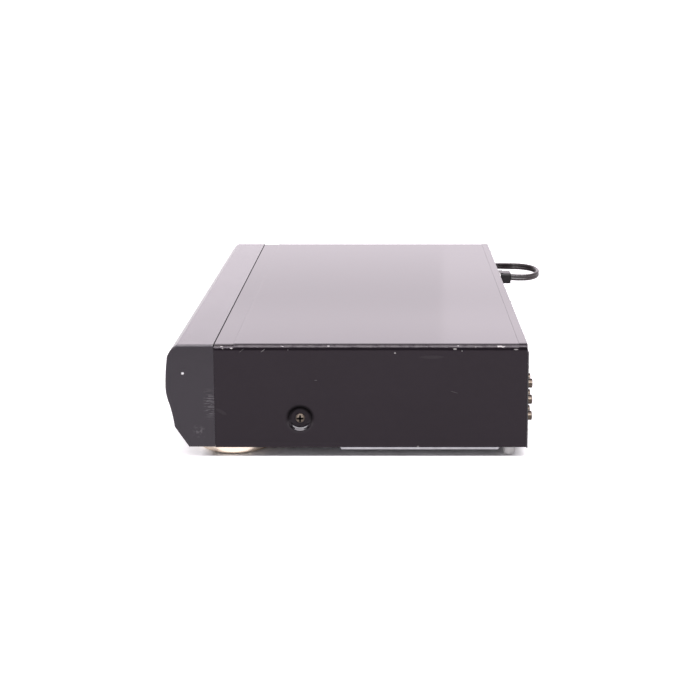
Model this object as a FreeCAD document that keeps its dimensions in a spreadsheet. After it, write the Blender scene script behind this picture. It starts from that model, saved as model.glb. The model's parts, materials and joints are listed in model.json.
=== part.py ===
import FreeCAD, Part
import math
import operator
import os
import Sketcher
from FreeCAD import Placement, Rotation, Vector

# A full-width disc player, modelled as it comes apart on a bench.
# X runs to the viewer's right, the front panel faces -Y, and Z is up.
# The origin is on the floor, under the middle of the case with its sockets. Sizes are in millimetres.

doc = FreeCAD.newDocument("disc_player")
dims = doc.addObject("Spreadsheet::Sheet", "dims")

DRIVING_SIZES = [
    ("case_width", 430, "case, side to side"),
    ("case_depth", 310, "front panel's foremost line to the rear panel"),
    ("case_height", 90.5, "case, underside to the cover's top"),
    ("foot_height", 9, "floor to the case's underside"),
    ("jack_reach", 9, "phono barrels behind the rear panel"),
    ("seam_depth", 41.9, "front panel, front to back"),
    ("skin", 1, "sheet steel"),
    ("wall", 2.5, "moulded wall of the front panel"),
    ("bend", 3, "outside bend radius of the cover"),
    ("play", 0.3, "gap round what moves"),
    ("cover_setback", 1.2, "rear panel behind the cover's rear edge"),
    ("rim_width", 7, "ridge along the cover's rear edge"),
    ("rim_rise", 0.4, "height of that ridge"),
    ("strip_width", 17, "lower strip behind the front seam"),
    ("strip_drop", 0.4, "how much lower that strip lies"),
    ("dish_setback", 114.9, "side screw behind the foremost line"),
    ("dish_height", 25.4, "side screw above the case's underside"),
    ("dish_rim", 12, "radius of the pressed dish round it"),
    ("dish_floor", 7.7, "radius of the dish's flat floor"),
    ("dish_sink", 2.2, "depth of the dish"),
    ("pan_drop", 3.2, "how far the middle of the pan is drawn down"),
    ("pan_inset", 3.4, "pan's side inside the cover's side"),
    ("front_foot", 34.5, "radius of a front foot"),
    ("rear_foot", 5.3, "radius of a rear foot"),
    ("mouth_width", 144, "opening for the tray"),
    ("mouth_low", 62.9, "its lower edge above the floor"),
    ("mouth_high", 79.1, "its upper edge"),
    ("tray_width", 130, "disc tray"),
    ("tray_length", 181, "disc tray behind its door"),
    ("tray_bottom", 66.5, "underside of the tray's skirt above the floor"),
    ("tray_top", 73.5, "top of the tray above the floor"),
    ("tray_shell", 1.8, "moulded wall of the tray"),
    ("well_radius", 60.5, "well for a 120 mm disc"),
    ("small_well", 40.5, "well for an 80 mm disc"),
    ("slot_width", 36, "slot for the turntable and the lens"),
    ("disc_setback", 74.5, "disc centre behind the foremost line, tray shut"),
    ("gear_module", 1, "module of every gear and rack"),
    ("pinion_teeth", 24, "gear that drives the tray's rack"),
    ("drive_teeth", 12, "gear on the belt pulley"),
    ("feed_teeth", 12, "gear that drives the sled's rack"),
    ("loader_half", 70.8, "half the width of the loader's frame"),
    ("traverse_half", 40, "half the width of the traverse"),
    ("phono_radius", 4.15, "outside of a phono barrel"),
    ("phono_pitch", 15, "phono sockets, row to row"),
    ("phono_step", 16, "phono sockets, column to column"),
    ("cord_width", 7.4, "mains cord"),
    ("coil_radius", 48, "outermost turn of the coil, to the cord's middle"),
    ("coil_step", 7.9, "turn to turn and layer to layer"),
]

for row, (alias, size, note) in enumerate(DRIVING_SIZES, start=1):
    dims.set(f"A{row}", note)
    dims.set(f"B{row}", str(size))
    dims.setAlias(f"B{row}", alias)
doc.recompute()


class Size:
    """A length that knows its number and the sheet formula behind it."""

    def __init__(self, value, formula):
        self.value = value
        self.formula = formula

    def __add__(self, other):
        return combined(self, "+", other)

    def __radd__(self, other):
        return combined(other, "+", self)

    def __sub__(self, other):
        return combined(self, "-", other)

    def __rsub__(self, other):
        return combined(other, "-", self)

    def __mul__(self, other):
        return combined(self, "*", other)

    def __rmul__(self, other):
        return combined(other, "*", self)

    def __truediv__(self, other):
        return combined(self, "/", other)

    def __neg__(self):
        return combined(-1, "*", self)


OPERATIONS = {"+": operator.add, "-": operator.sub, "*": operator.mul, "/": operator.truediv}


def number(size):
    return size.value if isinstance(size, Size) else float(size)


def formula(size):
    return size.formula if isinstance(size, Size) else f"({round(float(size), 6)})"


def combined(left, sign, right):
    value = OPERATIONS[sign](number(left), number(right))
    return Size(value, f"({formula(left)} {sign} {formula(right)})")


def cell(alias):
    return Size(float(dims.get(alias)), f"dims.{alias}")


case_width = cell("case_width")
foot_height = cell("foot_height")
skin = cell("skin")
wall = cell("wall")
play = cell("play")

SIDE = case_width / 2
FRONT = (cell("case_depth") + cell("jack_reach")) / -2
REAR = (cell("case_depth") - cell("jack_reach")) / 2
TOP = foot_height + cell("case_height")
SEAM = FRONT + cell("seam_depth")
COVER_END = REAR - cell("cover_setback")
PAN_SIDE = SIDE - cell("pan_inset")
DISC_Y = FRONT + cell("disc_setback")
TRAY_FRONT = FRONT + 6
TRAY_END = TRAY_FRONT + cell("tray_length")
TRAY_TOP = cell("tray_top")
TRAY_BOTTOM = cell("tray_bottom")
GEAR_MODULE = cell("gear_module")

# How each piece is turned so that its own Z points along an axis of the case.
TURN_TO = {
    "+Z": Rotation(),
    "-Z": Rotation(Vector(1, 0, 0), 180),
    "+X": Rotation(Vector(0, 1, 0), 90),
    "-X": Rotation(Vector(0, 1, 0), -90),
    "+Y": Rotation(Vector(1, 0, 0), -90),
    "-Y": Rotation(Vector(1, 0, 0), 90),
}

# The sub-parts, by the name of their file.
nodes = {}


def node(name, piece):
    piece.Label = name
    nodes[name] = piece
    return piece


def bind(piece, prop, size):
    piece.setExpression(prop, formula(size))


def place(piece, at, towards="+Z"):
    piece.Placement = Placement(Vector(*[number(size) for size in at]), TURN_TO[towards])
    for letter, size in zip("xyz", at):
        bind(piece, f"Placement.Base.{letter}", size)
    return piece


def box(name, x, y, z):
    """A block from the low to the high end of each range."""
    piece = doc.addObject("Part::Box", name)
    for side, (low, high) in zip(("Length", "Width", "Height"), (x, y, z)):
        bind(piece, side, high - low)
    return place(piece, (x[0], y[0], z[0]))


def rod(name, radius, length, at, towards="+Z"):
    """A cylinder that starts at a point and runs along an axis."""
    piece = doc.addObject("Part::Cylinder", name)
    bind(piece, "Radius", radius)
    bind(piece, "Height", length)
    return place(piece, at, towards)


def joined(name, *pieces):
    whole = doc.addObject("Part::MultiFuse", name)
    whole.Shapes = list(pieces)
    return whole


def group(name, *pieces):
    whole = doc.addObject("Part::Compound", name)
    whole.Links = list(pieces)
    return whole


def cut(name, base, *tools):
    rest = doc.addObject("Part::Cut", name)
    rest.Base = base
    rest.Tool = tools[0] if len(tools) == 1 else joined(f"{name}_tools", *tools)
    return rest


def common(name, *pieces):
    overlap = doc.addObject("Part::MultiCommon", name)
    overlap.Shapes = list(pieces)
    return overlap


def rounded(name, base, radius, choose):
    """Fillet the edges of a piece whose middle and direction pass a test."""
    doc.recompute()
    chosen = []
    for index, edge in enumerate(base.Shape.Edges, start=1):
        middle = edge.valueAt((edge.FirstParameter + edge.LastParameter) / 2)
        along = edge.tangentAt((edge.FirstParameter + edge.LastParameter) / 2)
        if choose(middle, along):
            chosen.append((index, radius, radius))
    fillet = doc.addObject("Part::Fillet", name)
    fillet.Base = base
    fillet.Edges = chosen
    return fillet


def runs_along(letter):
    axis = "xyz".index(letter)
    return lambda middle, along: abs(along[axis]) > 0.99


def pin_point(sketch, index, end, name, point):
    """Hold one end of a sketch edge at a point given by two sizes."""
    for kind, letter, size in zip(("DistanceX", "DistanceY"), "uv", point):
        held = sketch.addConstraint(Sketcher.Constraint(kind, -1, 1, index, end, number(size)))
        label = f"{name}_{letter}"
        sketch.renameConstraint(held, label)
        bind(sketch, f"Constraints.{label}", size)


def flat(point):
    return Vector(number(point[0]), number(point[1]), 0)


def arc_between(start, through, end):
    """An arc by three points, always drawn anticlockwise, as a sketch wants it."""
    turn = (through - start).cross(end - through).z
    return Part.ArcOfCircle(start, through, end) if turn > 0 else Part.ArcOfCircle(end, through, start)


def sketch_on(body, role, name, outline, level=0):
    """Draw a closed outline on one of the body's origin planes, level being how far the plane moves.

    A corner is a pair of sizes. A triple (through, end) of pairs is an arc to that end.
    """
    sketch = body.newObject("Sketcher::SketchObject", name)
    plane = next(part for part in body.Origin.OriginFeatures if part.Role == role)
    sketch.AttachmentSupport = [(plane, "")]
    sketch.MapMode = "FlatFace"
    bind(sketch, "AttachmentOffset.Base.z", -level if role == "XZ_Plane" else level + 0)
    start = outline[0]
    for index, step in enumerate(outline[1:] + [outline[0]]):
        if isinstance(step[0], tuple):
            through, end = step
            sketch.addGeometry(arc_between(flat(start), flat(through), flat(end)))
        else:
            end = step
            sketch.addGeometry(Part.LineSegment(flat(start), flat(end)))
        start = end
    corners = [step[1] if isinstance(step[0], tuple) else step for step in outline]
    for index, corner in enumerate(corners):
        geometry = sketch.Geometry[index]
        forward = (geometry.StartPoint - flat(corner)).Length < 0.001
        pin_point(sketch, index, 1 if forward else 2, f"corner{index}", corner)
    for index in range(len(corners)):
        after = (index + 1) % len(corners)
        near = sketch.Geometry[index]
        tail = 2 if (near.EndPoint - flat(corners[after])).Length < 0.001 else 1
        head = 1 if (sketch.Geometry[after].StartPoint - flat(corners[after])).Length < 0.001 else 2
        sketch.addConstraint(Sketcher.Constraint("Coincident", index, tail, after, head))
    return sketch


PLANE_ACROSS = {"X": "YZ_Plane", "Y": "XZ_Plane", "Z": "XY_Plane"}


def add_pad(body, name, axis, outline, start, length):
    """Pad an outline from start along an axis of the case."""
    sketch = sketch_on(body, PLANE_ACROSS[axis], f"{name}_sketch", outline, start)
    pad = body.newObject("PartDesign::Pad", name)
    pad.Profile = sketch
    pad.Reversed = axis == "Y"
    bind(pad, "Length", length)
    return pad


def padded(name, axis, outline, start, length):
    body = doc.addObject("PartDesign::Body", name)
    add_pad(body, f"{name}_pad", axis, outline, start, length)
    return body


def turned(name, outline, at, towards="+Z"):
    """A body turned round its own Z; the outline gives radius and height."""
    body = doc.addObject("PartDesign::Body", name)
    sketch = sketch_on(body, "XZ_Plane", f"{name}_sketch", outline)
    turn = body.newObject("PartDesign::Revolution", f"{name}_turn")
    turn.Profile = sketch
    turn.ReferenceAxis = (sketch, ["V_Axis"])
    turn.Angle = 360
    return place(body, at, towards)


def rectangle(u, v):
    return [(u[0], v[0]), (u[1], v[0]), (u[1], v[1]), (u[0], v[1])]


def toothed(name, teeth, thickness, at, bore, first_angle=0.0):
    """A spur gear: a blank, one tooth padded on it, and that tooth repeated round the axis."""
    module = GEAR_MODULE
    pitch = teeth * module / 2
    root = pitch - 1.2 * module
    body = doc.addObject("PartDesign::Body", name)
    blank = body.newObject("Sketcher::SketchObject", f"{name}_blank")
    plane = next(part for part in body.Origin.OriginFeatures if part.Role == "XY_Plane")
    blank.AttachmentSupport = [(plane, "")]
    blank.MapMode = "FlatFace"
    for label, radius in (("root", root), ("bore", bore)):
        index = blank.addGeometry(Part.Circle(Vector(0, 0, 0), Vector(0, 0, 1), number(radius)))
        blank.addConstraint(Sketcher.Constraint("Coincident", index, 3, -1, 1))
        held = blank.addConstraint(Sketcher.Constraint("Radius", index, number(radius)))
        blank.renameConstraint(held, f"{label}_radius")
        bind(blank, f"Constraints.{label}_radius", radius)
    disc = body.newObject("PartDesign::Pad", f"{name}_disc")
    disc.Profile = blank
    bind(disc, "Length", thickness)
    tooth = add_pad(body, f"{name}_tooth", "Z", tooth_outline(root, pitch, module), 0, thickness)
    doc.recompute()
    ring = body.newObject("PartDesign::PolarPattern", f"{name}_ring")
    ring.Originals = [tooth]
    ring.Axis = (tooth.Profile[0], ["N_Axis"])
    ring.Angle = 360
    bind(ring, "Occurrences", teeth)
    body.Tip = ring
    place(body, at)
    body.Placement = Placement(body.Placement.Base, Rotation(Vector(0, 0, 1), first_angle))
    return body


def tooth_outline(root, pitch, module):
    """Half widths of one tooth at its foot, its pitch line and its tip, thinned for running."""
    foot, middle, tip = 0.98 * module, 0.64 * module, 0.34 * module
    sink = 0.3 * module
    crest = pitch + module
    return [
        (root - sink, -foot), (root + 0.05, -foot), (pitch, -middle), (crest, -tip),
        (crest, tip), (pitch, middle), (root + 0.05, foot), (root - sink, foot),
    ]


def rack(name, body, root_x, first_y, count, low, thickness):
    """Add straight teeth that point to +X along a line of constant X to a body."""
    module = GEAR_MODULE
    foot, tip = 1.07 * module, 0.27 * module
    outline = [
        (root_x - 0.3, first_y - foot), (root_x, first_y - foot), (root_x + 2.2 * module, first_y - tip),
        (root_x + 2.2 * module, first_y + tip), (root_x, first_y + foot), (root_x - 0.3, first_y + foot),
    ]
    tooth = add_pad(body, name, "Z", outline, low, thickness)
    doc.recompute()
    row = body.newObject("PartDesign::LinearPattern", f"{name}_row")
    row.Originals = [tooth]
    row.Direction = (tooth.Profile[0], ["V_Axis"])
    bind(row, "Length", math.pi * module * (count - 1))
    row.Occurrences = count
    body.Tip = row
    return body


COS45 = math.cos(math.radians(45))


def cover_outline(top):
    """The folded sheet seen from the front: up one side, over the top and down the other."""
    outer = cell("bend")
    inner = outer - skin
    shoulder = top - outer
    left, right = outer - SIDE, SIDE - outer
    return [
        (-SIDE, foot_height), (-SIDE, shoulder),
        ((left - outer * COS45, shoulder + outer * COS45), (left, top)),
        (right, top), ((right + outer * COS45, shoulder + outer * COS45), (SIDE, shoulder)),
        (SIDE, foot_height), (SIDE - skin, foot_height), (SIDE - skin, shoulder),
        ((right + inner * COS45, shoulder + inner * COS45), (right, top - skin)),
        (left, top - skin), ((left - inner * COS45, shoulder + inner * COS45), (skin - SIDE, shoulder)),
        (skin - SIDE, foot_height),
    ]


DISH_Y = FRONT + cell("dish_setback")
DISH_Z = foot_height + cell("dish_height")
SCREW_SHANK = 1.5
SCREW_HOLE = 1.9


def pressed_dish(name, side):
    """The round dish pressed into a side, with the screw's hole in its floor."""
    rim, floor, sink = cell("dish_rim"), cell("dish_floor"), cell("dish_sink")
    outline = [
        (SCREW_HOLE, -sink), (floor, -sink), ((floor + 1.1, -sink + 0.35), (floor + 1.9, -sink + 0.9)),
        (rim - 1.6, -0.45), ((rim - 0.8, -0.12), (rim, 0)), (rim, -skin),
        (rim - 0.4, -skin), (rim - 1.9, -1.5), (floor + 1.4, -sink - 0.35),
        (floor + 0.5, -sink - skin), (SCREW_HOLE, -sink - skin),
    ]
    towards = "+X" if side > 0 else "-X"
    return turned(name, outline, (side * SIDE, DISH_Y, DISH_Z), towards)


COVER_SCREW_X = (-178, -60, 60, 178)
COVER_SCREW_Z = TOP - 3.2


def top_cover():
    rim_top = TOP + cell("rim_rise")
    strip_end = SEAM + cell("strip_width")
    rim_start = COVER_END - cell("rim_width")
    sheet = doc.addObject("PartDesign::Body", "cover_sheet")
    strip_top = TOP - cell("strip_drop")
    add_pad(sheet, "strip", "Y", cover_outline(strip_top), SEAM + 0.2, strip_end + skin - SEAM - 0.2)
    add_pad(sheet, "panel", "Y", cover_outline(TOP), strip_end, rim_start + skin - strip_end)
    add_pad(sheet, "rim", "Y", cover_outline(rim_top), rim_start, COVER_END - rim_start)
    riser = box("rim_riser", (3 - SIDE, SIDE - 3), (rim_start, rim_start + skin), (TOP - skin, rim_top))
    lip = box("rear_lip", (skin - SIDE, SIDE - skin), (COVER_END - skin, COVER_END), (TOP - 6, rim_top - skin))
    dishes, holes = [], []
    for side, word in ((-1, "left"), (1, "right")):
        dishes.append(pressed_dish(f"dish_{word}", side))
        holes.append(rod(f"dish_hole_{word}", cell("dish_rim"), 4,
                         (side * (SIDE + 1), DISH_Y, DISH_Z), "-X" if side > 0 else "+X"))
    for index, x in enumerate(COVER_SCREW_X):
        holes.append(rod(f"lip_hole_{index}", SCREW_HOLE, 4, (x, COVER_END + 1, COVER_SCREW_Z), "-Y"))
    folded = joined("cover_folded", sheet, riser, lip)
    return joined("cover", cut("cover_pierced", folded, *holes), *dishes)


# Front panel profile from the side: depth behind the foremost line, height above the case's
# underside, and the way into the wall from there.
NOSE = [
    ((10.7, 90.5), (0.35, -1.0)),
    ((4.9, 85.4), (0.8, -0.7)),
    ((1.8, 79.4), (1.0, -0.25)),
    ((0.5, 66.4), (1.0, 0.0)),
    ((0.0, 53.0), (1.0, 0.0)),
    ((0.45, 47.7), (1.0, 0.1)),
    ((1.7, 42.1), (1.0, 0.2)),
    ((5.0, 30.6), (1.0, 0.2)),
    ((7.2, 17.9), (0.95, 0.35)),
    ((19.3, 0.0), (0.6, 1.0)),
]


def nose_outline(inset=0, back=0):
    """The front panel's profile, or the same drawn inwards by a wall."""
    points = []
    for (depth, height), (inward, upward) in NOSE:
        points.append((FRONT + depth + inset * inward, foot_height + height + inset * upward))
    top, low = TOP - inset, foot_height + inset
    rear = SEAM + back
    return [
        (rear, top), points[0], (points[1], points[2]), (points[3], points[4]), (points[5], points[6]),
        (points[7], points[8]), points[9], (rear, low),
    ]


def nose_block(name, x, forward=0):
    """A slice of the front panel's solid profile, moved forward of it by a little."""
    body = padded(name, "X", nose_outline(), 0, x[1] - x[0])
    return place(body, (x[0], -forward if forward else 0, 0))


EDGE_ROUND = 1.2


def rounded_cheek(body, side):
    """Draw the profile in towards a cheek in two steps, so that its edge is rounded."""
    steps = ((EDGE_ROUND, 0), (0.3 * EDGE_ROUND, 0.3 * EDGE_ROUND), (0, EDGE_ROUND))
    rings = []
    for index, (from_cheek, inset) in enumerate(steps):
        level = side * (SIDE - from_cheek)
        rings.append(sketch_on(body, "YZ_Plane", f"ring{index}_{'right' if side > 0 else 'left'}",
                               nose_outline(inset), level))
    cheek = body.newObject("PartDesign::AdditiveLoft", f"cheek_{'right' if side > 0 else 'left'}")
    cheek.Profile = rings[0]
    cheek.Sections = rings[1:]
    cheek.Ruled = True
    return cheek


TRAY_DOOR_Z = (cell("mouth_low") + 0.5, cell("mouth_high") - 0.5)
WINDOW_X = 68
WINDOW_Z = (34, 54.5)
LENS_AT = (-150, 83)

# The keys: name, middle of the cap in X and Z, and its width and height.
KEYS = [
    ("power_button", -182, 71, 30, 13),
    ("open_button", 104, 71, 26, 11),
    ("play_button", 178, 71, 30, 19),
    ("stop_button", 143, 76.7, 22, 9),
    ("pause_button", 143, 64.3, 22, 9),
    ("skip_back_button", 134, 46, 24, 9),
    ("skip_forward_button", 164, 46, 24, 9),
]
CAP_CORNER = 2
CAP_PROUD = 0.9
CAP_BACK = FRONT + 13
KEY_BOARD_Y = FRONT + 24
DISPLAY_BOARD_Y = FRONT + 15


def key_opening(name, x, z, width, height, margin):
    half_x, half_z = width / 2 + margin, height / 2 + margin
    block = box(name, (x - half_x, x + half_x), (FRONT - 2, FRONT + 12), (z - half_z, z + half_z))
    return rounded(f"{name}_round", block, CAP_CORNER + margin, runs_along("y"))


def front_panel():
    solid = doc.addObject("PartDesign::Body", "panel_solid")
    add_pad(solid, "panel_middle", "X", nose_outline(), EDGE_ROUND - SIDE, case_width - 2 * EDGE_ROUND)
    for side in (-1, 1):
        rounded_cheek(solid, side)
    hollow = padded("panel_hollow", "X", nose_outline(wall, 1), wall - SIDE, case_width - 2 * wall)
    half_mouth = cell("mouth_width") / 2
    mouth = box("mouth", (-half_mouth, half_mouth), (FRONT - 1, FRONT + 12), (cell("mouth_low"), cell("mouth_high")))
    window = box("window_hole", (-WINDOW_X, WINDOW_X), (FRONT - 1, FRONT + 12), WINDOW_Z)
    lens = rod("lens_hole", 1.9, 14, (LENS_AT[0], FRONT - 1, LENS_AT[1]), "+Y")
    openings = [mouth, window, lens]
    for name, x, z, width, height in KEYS:
        openings.append(key_opening(f"{name}_hole", x, z, width, height, 0.4))
    shell = joined("panel_shell", cut("panel_shelled", solid, hollow), panel_bosses())
    return cut("panel", shell, *openings)


KEY_BOSSES = [(90, 34), (200, 34), (124, 81), (-203, 56), (-160, 56)]
DISPLAY_BOSSES = [(-74, 44), (74, 44)]


def panel_bosses():
    """Posts inside the front that the boards are screwed to."""
    posts = [rod(f"key_boss_{index}", 2.4, KEY_BOARD_Y - FRONT - 1, (x, FRONT + 1, z), "+Y")
             for index, (x, z) in enumerate(KEY_BOSSES)]
    posts += [rod(f"display_boss_{index}", 2.4, DISPLAY_BOARD_Y - FRONT - 1, (x, FRONT + 1, z), "+Y")
              for index, (x, z) in enumerate(DISPLAY_BOSSES)]
    solid_front = nose_block("boss_trim", (1 - SIDE, SIDE - 1))
    return common("bosses", joined("boss_rods", *posts), solid_front)


def display_window():
    block = nose_block("window_block", (0.25 - WINDOW_X, WINDOW_X - 0.25))
    low, high = WINDOW_Z
    slab = box("window_slab", (-WINDOW_X, WINDOW_X), (FRONT - 1, FRONT + 8.5), (low + 0.25, high - 0.25))
    back = box("window_back", (2.5 - WINDOW_X, WINDOW_X - 2.5), (FRONT + 6.5, FRONT + 10), (low + 2, high - 2))
    return cut("window", common("window_front", block, slab), back)


def standby_lens():
    outline = [(0, 0), (1.7, 0), (1.7, 8.6), (1.2, 9.4), (0, 9.8)]
    return turned("bead", outline, (LENS_AT[0], FRONT + 9.8, LENS_AT[1]), "-Y")


def tray_door():
    """The slice of the front that the tray carries, so that the face looks whole when it is shut."""
    half = cell("mouth_width") / 2 - 0.5
    block = nose_block("door_block", (-half, half))
    slab = box("door_slab", (-half, half), (FRONT - 1, FRONT + 6), TRAY_DOOR_Z)
    return common("door", block, slab)


def key_cap(name, x, z, width, height):
    """A cap that follows the panel's face, with its stem behind it."""
    half_x, half_z = width / 2, height / 2
    block = nose_block(f"{name}_block", (x - half_x - 1, x + half_x + 1), CAP_PROUD)
    prism = box(f"{name}_prism", (x - half_x, x + half_x), (FRONT - 2, CAP_BACK), (z - half_z, z + half_z))
    face = common(f"{name}_face", block, rounded(f"{name}_corners", prism, CAP_CORNER, runs_along("y")))
    flange = box(f"{name}_flange", (x - half_x - 1.5, x + half_x + 1.5), (CAP_BACK - 0.5, CAP_BACK + 1),
                 (z - half_z - 1.5, z + half_z + 1.5))
    stem = rod(f"{name}_stem", 2, 4.5, (x, CAP_BACK + 0.5, z), "+Y")
    return joined(name, face, flange, stem)


PAN_FRONT = SEAM + 0.3
PAN_REAR = REAR - 1.1
PAN_WALL_TOP = 48
DROP_START = FRONT + 148
DROP_END = FRONT + 287
DROP_FLOOR = foot_height - cell("pan_drop") + skin
FLOOR = foot_height + skin
FRONT_FOOT_AT = (SIDE - 6 - cell("front_foot"), FRONT + 56)
REAR_FOOT_AT = (SIDE - 6 - cell("rear_foot"), REAR - 15)

# Where boards stand on the pan: X, Y, and the floor's level under that post.
POWER_POSTS = [(-198, -52), (-92, -52), (-198, 52), (-92, 52)]
AV_POSTS = [(84, 78), (198, 78)]
MAIN_POSTS = [(-68, 56), (54, 56), (-68, 120), (54, 120)]
POWER_BOARD_Z = 18
AV_BOARD_Z = 12
MAIN_BOARD_Z = 24


def pan_edge():
    """Underside of the pan from front to rear, with its drawn-down middle."""
    low = foot_height - cell("pan_drop")
    return [(PAN_FRONT, foot_height), (DROP_START, foot_height), (DROP_START + 2, low),
            (DROP_END - 2, low), (DROP_END, foot_height), (PAN_REAR, foot_height)]


def chassis_pan():
    edge = pan_edge()
    upper = [(y + shift, z + skin) for (y, z), shift in zip(edge, (0, 0.4, 0.4, -0.4, -0.4, 0))]
    sheet = doc.addObject("PartDesign::Body", "pan_sheet")
    add_pad(sheet, "pan_floor", "X", edge + upper[::-1], -PAN_SIDE, 2 * PAN_SIDE)
    side = edge + [(PAN_REAR, PAN_WALL_TOP), (PAN_FRONT, PAN_WALL_TOP)]
    add_pad(sheet, "pan_left", "X", side, -PAN_SIDE, skin)
    add_pad(sheet, "pan_right", "X", side, PAN_SIDE - skin, skin)
    across = (-PAN_SIDE, PAN_SIDE)
    pieces = [
        sheet,
        box("pan_front_wall", across, (PAN_FRONT, PAN_FRONT + skin), (foot_height, 34)),
        box("pan_rear_lip", across, (PAN_REAR - skin, PAN_REAR), (foot_height, 12.4)),
    ]
    ear_y = (PAN_REAR - skin, PAN_REAR)
    for index, (low, high, top) in enumerate([(-PAN_SIDE, -199, 82), (199, PAN_SIDE, 82), (34, 46, 26)]):
        pieces.append(box(f"pan_ear_{index}", (low, high), ear_y, (foot_height, top)))
    for index, (x, y) in enumerate(POWER_POSTS + AV_POSTS + MAIN_POSTS):
        top = POWER_BOARD_Z if index < 4 else AV_BOARD_Z if index < 6 else MAIN_BOARD_Z
        low = DROP_FLOOR - 0.2 if DROP_START.value < y else FLOOR - 0.2
        pieces.append(rod(f"pan_post_{index}", 3, top - low, (x, y, low)))
    holes = []
    for side in (-1, 1):
        word = "right" if side > 0 else "left"
        holes.append(rod(f"pan_side_hole_{word}", SCREW_SHANK + 0.05, 12,
                         (side * (PAN_SIDE + 5), DISH_Y, DISH_Z), "-X" if side > 0 else "+X"))
        holes.append(rod(f"pan_foot_hole_{word}", SCREW_SHANK + 0.05, 6,
                         (side * FRONT_FOOT_AT[0], FRONT_FOOT_AT[1], foot_height - 2)))
    for index, (x, z) in enumerate(PANEL_SCREWS):
        holes.append(rear_hole(f"pan_ear_hole_{index}", x, z, SCREW_SHANK + 0.05))
    for index in range(12):
        x = -190 + 12 * index if index < 6 else 40 + 12 * index
        holes.append(box(f"pan_vent_{index}", (x, x + 4), (-2, 44), (0, 20)))
    return cut("pan", joined("pan_folded", *pieces), *holes)


PANEL_TOP = TOP - 6.5
PANEL_LOW = foot_height - 0.8
PHONO_COLUMNS = (SIDE - 50, SIDE - 50 - cell("phono_step"))
PHONO_ROWS = [foot_height + 10.8 + cell("phono_pitch") * row for row in range(3)]
COAX_X = 118
SVIDEO_AT = (118, foot_height + 31)
OPTICAL_AT = (94, foot_height + 9.5)
INLET_AT = (-140, foot_height + 67)
INLET_WIDTH, INLET_HEIGHT = 22, 13
PANEL_SCREWS = [(-206, 20), (-206, 76), (206, 20), (206, 76), (40, 20), (157, 65)]


def rear_panel():
    half = SIDE - 0.4
    sheet = box("rear_sheet", (-half, half), (REAR - skin, REAR), (PANEL_LOW, PANEL_TOP))
    step = box("rear_step", (2 - SIDE, SIDE - 2), (REAR - 3.3, REAR), (PANEL_TOP - skin, PANEL_TOP))
    band = box("rear_band", (2 - SIDE, SIDE - 2), (REAR - 3.3, REAR - 2.3), (PANEL_TOP - skin, TOP - 1.3))
    holes = []
    for column, x in enumerate(PHONO_COLUMNS):
        for row, z in enumerate(PHONO_ROWS):
            holes.append(rear_hole(f"phono_hole_{column}{row}", x, z, cell("phono_radius") + 0.6))
    holes.append(rear_hole("coax_hole", COAX_X, PHONO_ROWS[0], cell("phono_radius") + 0.6))
    holes.append(rear_hole("svideo_hole", *SVIDEO_AT, 6.4))
    holes.append(rear_window("optical_hole", OPTICAL_AT, 10.6, 10.2))
    holes.append(rear_window("inlet_hole", INLET_AT, INLET_WIDTH + 0.4, INLET_HEIGHT + 0.4))
    for index, (x, z) in enumerate(PANEL_SCREWS):
        holes.append(rear_hole(f"panel_screw_hole_{index}", x, z, SCREW_SHANK + 0.05))
    for index, x in enumerate(COVER_SCREW_X):
        holes.append(rear_hole(f"band_hole_{index}", x, COVER_SCREW_Z, SCREW_SHANK + 0.05))
    for index in range(14):
        x = -88 + 9 * index
        holes.append(box(f"rear_vent_{index}", (x, x + 3.5), (REAR - 5, REAR + 1), (56, 78)))
    return cut("rear", joined("rear_folded", sheet, step, band), *holes)


def rear_hole(name, x, z, radius):
    return rod(name, radius, 8, (x, REAR + 1, z), "-Y")


def rear_window(name, at, width, height):
    x, z = at
    return box(name, (x - width / 2, x + width / 2), (REAR - 5, REAR + 1), (z - height / 2, z + height / 2))


def front_foot(name, side):
    radius = cell("front_foot")
    outline = [(6, 0), (radius - 5, 0), (radius - 4.4, 0.4), (radius - 4.4, 0.7), (radius - 5.5, 0.7),
               (radius - 5.5, foot_height), (2.2, foot_height), (2.2, 5), (6, 5)]
    return turned(name, outline, (side * FRONT_FOOT_AT[0], FRONT_FOOT_AT[1], 0))


def foot_ring(name, side):
    """The champagne-coloured ring pressed round a front foot."""
    radius = cell("front_foot")
    inner = radius - 5.4
    outline = [(inner, 0.8), (radius - 1.2, 0.8), (radius - 0.3, 1.3), (radius, 2.2), (radius, 8.1),
               (radius - 0.7, 8.9), (inner, 8.9)]
    return turned(name, outline, (side * FRONT_FOOT_AT[0], FRONT_FOOT_AT[1], 0))


def rear_foot(name, side):
    radius = cell("rear_foot")
    outline = [(0, 0), (radius - 0.8, 0), (radius, 0.8), (radius, foot_height), (0, foot_height)]
    return turned(name, outline, (side * REAR_FOOT_AT[0], REAR_FOOT_AT[1], 0))


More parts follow.
